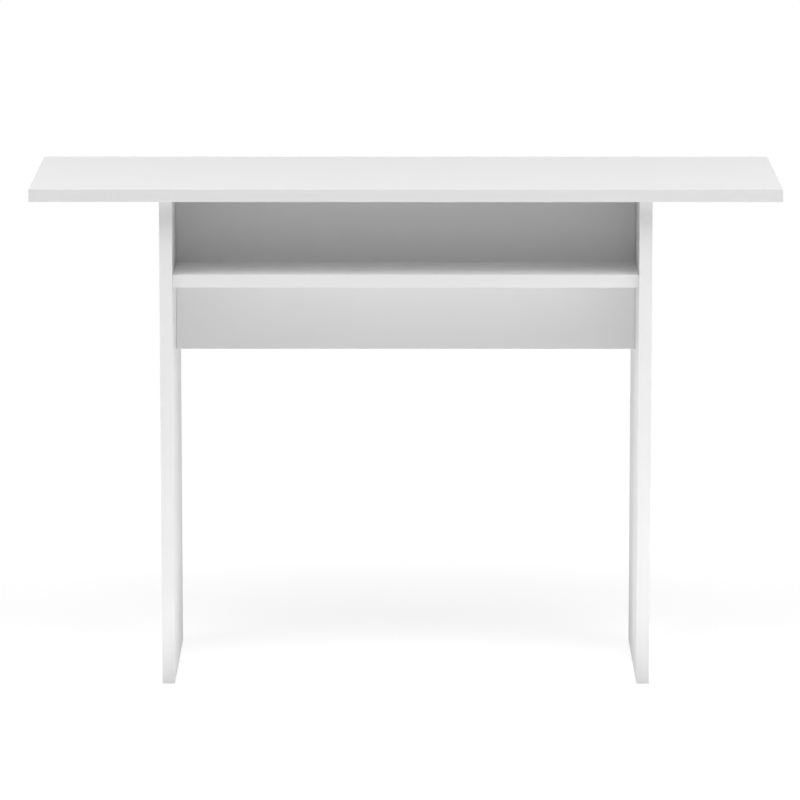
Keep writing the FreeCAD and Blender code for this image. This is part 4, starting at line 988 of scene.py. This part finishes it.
def countersunk_screw(name, head_radius, head_height, core, crest, pitch, length):
    """A countersunk wood screw with its head's face at Z = 0 and its point upwards."""
    screw = turned(name, [
        (head_radius - 0.05, 0), (head_radius, 0.12), (core, head_height),
        (core, length - 1.6), (0.15, length),
    ], sides=32)
    span, blade, depth = (share * head_radius for share in (CROSS_SPAN, CROSS_BLADE, CROSS_DEPTH))
    for wide, deep in ((span, blade), (blade, span)):
        cutter = start_block("cross", (-wide / 2, -deep / 2, -0.5), (wide / 2, deep / 2, depth))
        pick("FACE", lambda face: face.normal.z > 0.9)
        bpy.ops.transform.resize(
            value=(CROSS_TAPER, CROSS_TAPER, 1), center_override=(0, 0, depth * MM),
        )
        cut_away(screw, cutter)
    add_thread(screw, core, crest, pitch, head_height + 0.1, length - 0.6)
    return screw


flange_screw = countersunk_screw(
    "flange_screw", head_radius=3.5, head_height=1.7, core=1.25, crest=1.8, pitch=1.4, length=7,
)
set_copies(
    flange_screw, "pivot_flange_screw", flange_screw_places,
    zinc_plated, "swivel_leaf", "pivot_flange_screws",
)
set_copies(
    turned("steel_washer", [
        (5.25, 0.1), (5.35, 0), (10.1, 0), (10.5, 0.4), (10.5, 1.9), (10.4, 2), (5.35, 2), (5.25, 1.9),
    ], sides=64, bored=True),
    "pivot_steel_washer_ring", on_pivot(foot_of("pivot_steel_washer")),
    zinc_plated, "swivel_leaf", "pivot_steel_washer",
)

spring_washer = turned("spring_washer", [
    (5.25, 0.15), (5.4, 0), (8.45, 0), (8.6, 0.15), (8.6, 2.05), (8.45, 2.2), (5.4, 2.2), (5.25, 2.05),
], sides=64, bored=True)
cut_away(spring_washer, start_block("split", (4, -0.55, -1), (10, 0.55, 3)))
set_copies(
    spring_washer, "pivot_spring_washer_ring", on_pivot(foot_of("pivot_spring_washer")),
    zinc_plated, "swivel_leaf", "pivot_spring_washer",
)

NUT_ACROSS_FLATS = 17
nut_corner = NUT_ACROSS_FLATS / math.sqrt(3)
lock_nut = turned("lock_nut", [(nut_corner, 2.5), (nut_corner, 9)], sides=6)
cut_away(lock_nut, turned("nut_chamfer", [
    (8.2, 2.4), (10.2, 3.5), (10.2, 7.9), (8.2, 9.1),
], sides=64), "INTERSECT")
cut_away(lock_nut, turned("nut_collar", [
    (6.4, 0.2), (6.6, 0), *arc(7.0, 1.0, 1.0, -90, 0), (8.0, 3.0),
], sides=64), "UNION")
cut_away(lock_nut, turned("nut_bore", [
    (6.0, -1), (6.0, 1.6), (5.05, 1.6), (5.05, 8.2), (6.2, 9.3), (6.2, 10),
], sides=48))
set_copies(
    lock_nut, "pivot_lock_nut_hexagon", on_pivot(foot_of("pivot_lock_nut")),
    zinc_plated, "swivel_leaf", "pivot_lock_nut",
)
set_copies(
    turned("nylon_ring", [
        (5.05, 0.3), (5.2, 0.15), (5.95, 0.15), (5.95, 1.55), (5.05, 1.55),
    ], bored=True),
    "pivot_lock_nut_nylon_ring", on_pivot(foot_of("pivot_lock_nut")),
    natural_nylon, "swivel_leaf", "pivot_lock_nut",
)


# ---- Stop peg ----
# A steel pin driven into the leaf's underside; it runs in the quarter circle of the pivot board
# and stops the top when it lies along the base or across it.

set_copies(
    turned("stop_peg", [(2.4, -8), (3, -7.4), (3, 6.6), (2.6, 7)], sides=32), "stop_peg_pin",
    [((middle_of("stop_peg")[0], PIVOT_Y, LEAF_UNDER), (0, 0, 1))],
    zinc_plated, "swivel_leaf", "stop_peg",
)


# ---- Hinges ----
# Four nickel-plated butt hinges let in flush between the leaves.  Each plate is stamped and
# rolled into knuckles round a pin that lies just behind the top's rear edge.

_, HINGE_Y, HINGE_Z = middle_of("hinge_pins")
HINGE_HALF, HINGE_REACH = 25, 24
KNUCKLES, KNUCKLE_RADIUS, KNUCKLE_CHAMFER, KNUCKLE_GAP = 5, 2.5, 0.2, 0.1
PIN_RADIUS, PIN_HALF, PIN_CHAMFER, PIN_CLEARANCE = 1.25, 24.5, 0.3, 0.05
PLATE_EDGE, PLATE_CORNER, PLATE_ARRIS = -2.8, 0.6, 0.15
PLATE_NEAR, PLATE_FAR = 0.1, 1.7
WEB_NEAR, WEB_FAR, WEB_SETBACK = 0.3, 1.65, 0.3
WEB_OVERLAP, WEB_END = 0.5, -0.3
SCREW_SPOTS = ((-17, -9), (0, -17), (17, -9))


def hinge_steel():
    """Nickel-plated steel: warm bright metal, brushed along the hinge before it is plated."""
    material, tree, shader, place = new_material("nickel_plated_steel", roughness=0.3, metallic=1.0)
    # Brush lines are about 0.1 mm apart and are drawn 0.3 mm apart, so that they show.
    lines = add_node(tree, "ShaderNodeMapping", {
        "Vector": place,
        "Scale": (1 / (15 * MM), 1 / (0.3 * MM), 1 / (0.3 * MM)),
    })
    brushed = add_node(tree, "ShaderNodeTexNoise", {
        "Vector": lines.outputs["Vector"],
        "Scale": 1,
        "Detail": 2,
    })
    apply_pattern(
        tree, shader, brushed.outputs["Fac"],
        colours=("#B9B5AE", "#C9C5BD"), gloss=(0.28, 0.46), relief=0.01 * MM,
    )
    return material


nickel_plated = hinge_steel()


def hinge_plate(knuckles, face):
    """A plate with its knuckles round the X axis; the face is -1 for a lower plate, 1 for an upper.

    A web ties each knuckle to the plate, set back a little so that no two faces coincide.
    """
    low_z, high_z = sorted((face * PLATE_NEAR, face * PLATE_FAR))
    plate = start_block(
        "hinge_plate", (-HINGE_HALF, -HINGE_REACH, low_z), (HINGE_HALF, PLATE_EDGE, high_z),
    )

    def at_far_corner(edge):
        middle = edge_middle(edge)
        upright = abs(middle.z - (low_z + high_z) / 2) < SAME_LEVEL
        return upright and middle.y < SAME_LEVEL - HINGE_REACH

    def on_show_face(edge):
        return all(abs(corner.co.z - face * PLATE_NEAR * MM) < SAME_PLACE for corner in edge.verts)

    pick("EDGE", at_far_corner)
    bpy.ops.mesh.bevel(offset=PLATE_CORNER * MM, segments=4, affect="EDGES")
    pick("EDGE", on_show_face)
    bpy.ops.mesh.bevel(offset=PLATE_ARRIS * MM, segments=2, affect="EDGES")

    pitch = 2 * HINGE_HALF / KNUCKLES
    web_low, web_high = sorted((face * WEB_NEAR, face * WEB_FAR))
    for index in knuckles:
        start = index * pitch - HINGE_HALF + KNUCKLE_GAP
        end = (index + 1) * pitch - HINGE_HALF - KNUCKLE_GAP
        cut_away(plate, start_block(
            "web", (start + WEB_SETBACK, PLATE_EDGE - WEB_OVERLAP, web_low),
            (end - WEB_SETBACK, WEB_END, web_high),
        ), "UNION")
        face_radius = KNUCKLE_RADIUS - KNUCKLE_CHAMFER
        knuckle = turned("knuckle", [
            (face_radius, start), (KNUCKLE_RADIUS, start + KNUCKLE_CHAMFER),
            (KNUCKLE_RADIUS, end - KNUCKLE_CHAMFER), (face_radius, end),
        ], sides=40)
        set_down(knuckle, (0, 0, 0), (1, 0, 0))
        cut_away(plate, knuckle, "UNION")
    bore_radius = PIN_RADIUS + PIN_CLEARANCE
    bore = turned("bore", [(bore_radius, -HINGE_HALF - 1), (bore_radius, HINGE_HALF + 1)], sides=32)
    set_down(bore, (0, 0, 0), (1, 0, 0))
    cut_away(plate, bore)
    for x, y in SCREW_SPOTS:
        sink = turned("sink", [(3.05, -0.33), (1.45, 1.32), (1.45, 3)], sides=32)
        set_down(sink, (x, y, face * PLATE_NEAR), (0, 0, face))
        cut_away(plate, sink)
    return plate


for level, body, face, knuckles in (
    ("lower", "swivel_leaf", -1, (0, 2, 4)),
    ("upper", "flap_leaf", 1, (1, 3)),
):
    for column_name, column in HINGE_COLUMNS.items():
        set_copies(
            hinge_plate(knuckles, face), f"hinge_{level}_{column_name}",
            [((column, HINGE_Y, HINGE_Z), (0, 0, 1))],
            nickel_plated, body, f"hinge_{level}_plate_{column_name}",
        )

hinge_pin = turned("hinge_pin", [
    (PIN_RADIUS - PIN_CHAMFER, -PIN_HALF), (PIN_RADIUS, PIN_CHAMFER - PIN_HALF),
    (PIN_RADIUS, PIN_HALF - PIN_CHAMFER), (PIN_RADIUS - PIN_CHAMFER, PIN_HALF),
], sides=32)
set_copies(
    hinge_pin, "hinge_pin",
    [((column, HINGE_Y, HINGE_Z), (1, 0, 0)) for column in HINGE_COLUMNS.values()],
    zinc_plated, "swivel_leaf", "hinge_pins",
)

for level, body, plane, face in (
    ("lower", "swivel_leaf", corners("lower_leaf")[1][2], -1),
    ("upper", "flap_leaf", foot_of("upper_leaf"), 1),
):
    hinge_screw = countersunk_screw(
        "hinge_screw", head_radius=2.6, head_height=1.3, core=0.95, crest=1.4, pitch=1.1, length=7,
    )
    set_copies(
        hinge_screw, f"hinge_{level}_screw",
        [
            ((column + x, HINGE_Y + y, plane), (0, 0, face))
            for column in HINGE_COLUMNS.values() for x, y in SCREW_SPOTS
        ],
        nickel_plated, body, f"hinge_{level}_screws",
    )


# ---- Room ----
# A white studio: a plain pale floor that runs on to the backdrop, two large soft boxes in front
# and above, two low ones behind, and faint light tables on the floor round the legs.

take_up()
bpy.ops.mesh.primitive_plane_add(size=40)
floor = bpy.context.object
floor.name = "floor"


def seen_rays(tree):
    """One for a ray of the camera, also by a mirror or through glass, and nought for others."""
    rays = add_node(tree, "ShaderNodeLightPath")
    seen_or_mirrored = add_node(tree, "ShaderNodeMath", {
        0: rays.outputs["Is Camera Ray"],
        1: rays.outputs["Is Glossy Ray"],
    }, operation="MAXIMUM")
    return add_node(tree, "ShaderNodeMath", {
        0: seen_or_mirrored.outputs[0],
        1: rays.outputs["Is Transmission Ray"],
    }, operation="MAXIMUM").outputs[0]


# The floor is matt paint.  Near the table the camera sees part of its shading, so that the
# table's shadow stays, and further off it sees plain white.
WHITE_NEAR, SHADE_NEAR = 0.74, 0.5
SHADOW_REACH, WHITE_REACH = 0.9, 2.6
floor_paint, tree, shader, place = new_material("matt_floor_paint", roughness=0.9)
shader.inputs["Base Color"].default_value = linear("#E7E7E7")
shader.inputs["Specular IOR Level"].default_value = 0.0
away = add_node(tree, "ShaderNodeVectorMath", {0: place}, operation="LENGTH")
far_off = add_node(tree, "ShaderNodeMapRange", {
    "Value": away.outputs["Value"],
    "From Min": SHADOW_REACH,
    "From Max": WHITE_REACH,
}, interpolation_type="SMOOTHSTEP")
white = add_node(tree, "ShaderNodeMapRange", {
    "Value": far_off.outputs["Result"],
    "To Min": WHITE_NEAR,
    "To Max": 1.0,
})
white_light = add_node(tree, "ShaderNodeEmission", {
    "Color": (1, 1, 1, 1),
    "Strength": white.outputs["Result"],
})
hidden_shade = add_node(tree, "ShaderNodeMapRange", {
    "Value": far_off.outputs["Result"],
    "To Min": 1 - SHADE_NEAR,
    "To Max": 1.0,
})
weak_paint = add_node(tree, "ShaderNodeMixShader", {
    "Fac": hidden_shade.outputs["Result"],
    1: shader.outputs["BSDF"],
})
seen_floor = add_node(tree, "ShaderNodeAddShader", {
    0: weak_paint.outputs["Shader"],
    1: white_light.outputs["Emission"],
})
floor_surface = add_node(tree, "ShaderNodeMixShader", {
    "Fac": seen_rays(tree),
    1: shader.outputs["BSDF"],
    2: seen_floor.outputs["Shader"],
})
tree.links.new(floor_surface.outputs["Shader"], tree.get_output_node("ALL").inputs["Surface"])
dress(floor, floor_paint)

SKY_LIGHT = 0.16
world = bpy.data.worlds.new("pale_backdrop")
bpy.context.scene.world = world
world.use_nodes = True
sky = world.node_tree
sky.nodes.clear()
strength = add_node(sky, "ShaderNodeMapRange", {
    "Value": seen_rays(sky),
    "To Min": SKY_LIGHT,
    "To Max": 1.0,
})
light = add_node(sky, "ShaderNodeBackground", {
    "Color": (1, 1, 1, 1),
    "Strength": strength.outputs["Result"],
})
add_node(sky, "ShaderNodeOutputWorld", {"Surface": light.outputs["Background"]})


def soft_box(name, place, facing, size, watts):
    """A rectangular soft box at a place, which shines the way it faces and isn't seen itself."""
    bpy.ops.object.light_add(type="AREA", location=place)
    lamp = bpy.context.object
    lamp.name = name
    lamp.rotation_euler = Vector(facing).to_track_quat("-Z", "Y").to_euler()
    lamp.data.shape = "RECTANGLE"
    lamp.data.size, lamp.data.size_y = size
    lamp.data.energy = watts
    lamp.visible_camera = False


TABLE_MIDDLE = Vector((0, 0, 0.45))
LAMP_DISTANCE, LAMP_SIZE = 4.2, (3.0, 2.2)
for name, azimuth, elevation, watts in (
    ("key_left", -45, 54, 83),
    ("key_right", 45, 54, 83),
    ("low_rear_left", -150, 8, 22),
    ("low_rear_right", 150, 8, 22),
):
    round_about, up = math.radians(azimuth), math.radians(elevation)
    away = Vector((
        math.sin(round_about) * math.cos(up), -math.cos(round_about) * math.cos(up), math.sin(up),
    ))
    soft_box(name, TABLE_MIDDLE + LAMP_DISTANCE * away, -away, LAMP_SIZE, watts)

LIGHT_TABLE_LEVEL = 0.002
for name, middle_x, middle_y, size, watts in (
    ("light_table_left", -0.98, 0, (1.2, 2.4), 6),
    ("light_table_right", 0.98, 0, (1.2, 2.4), 6),
    ("light_table_middle", 0, -0.25, (0.5, 0.45), 0.6),
    ("light_table_front", 0, -0.74, (3.2, 0.9), 4.4),
):
    soft_box(name, (middle_x, middle_y, LIGHT_TABLE_LEVEL), (0, 0, 1), size, watts)

# The camera stands 8 m off and 1.9 m up with a long lens, and looks ten degrees down.
camera_data = bpy.data.cameras.new("camera")
camera = bpy.data.objects.new("camera", camera_data)
bpy.context.scene.collection.objects.link(camera)
bpy.context.scene.camera = camera
camera_data.sensor_width = 36
camera_data.lens = 249.41
camera_data.clip_end = 100
camera.location = (0.0046, -8.3353, 1.8904)
camera.rotation_euler = (math.radians(90 - 10.072), 0, math.radians(0.092))

bpy.context.scene.view_settings.view_transform = "Standard"
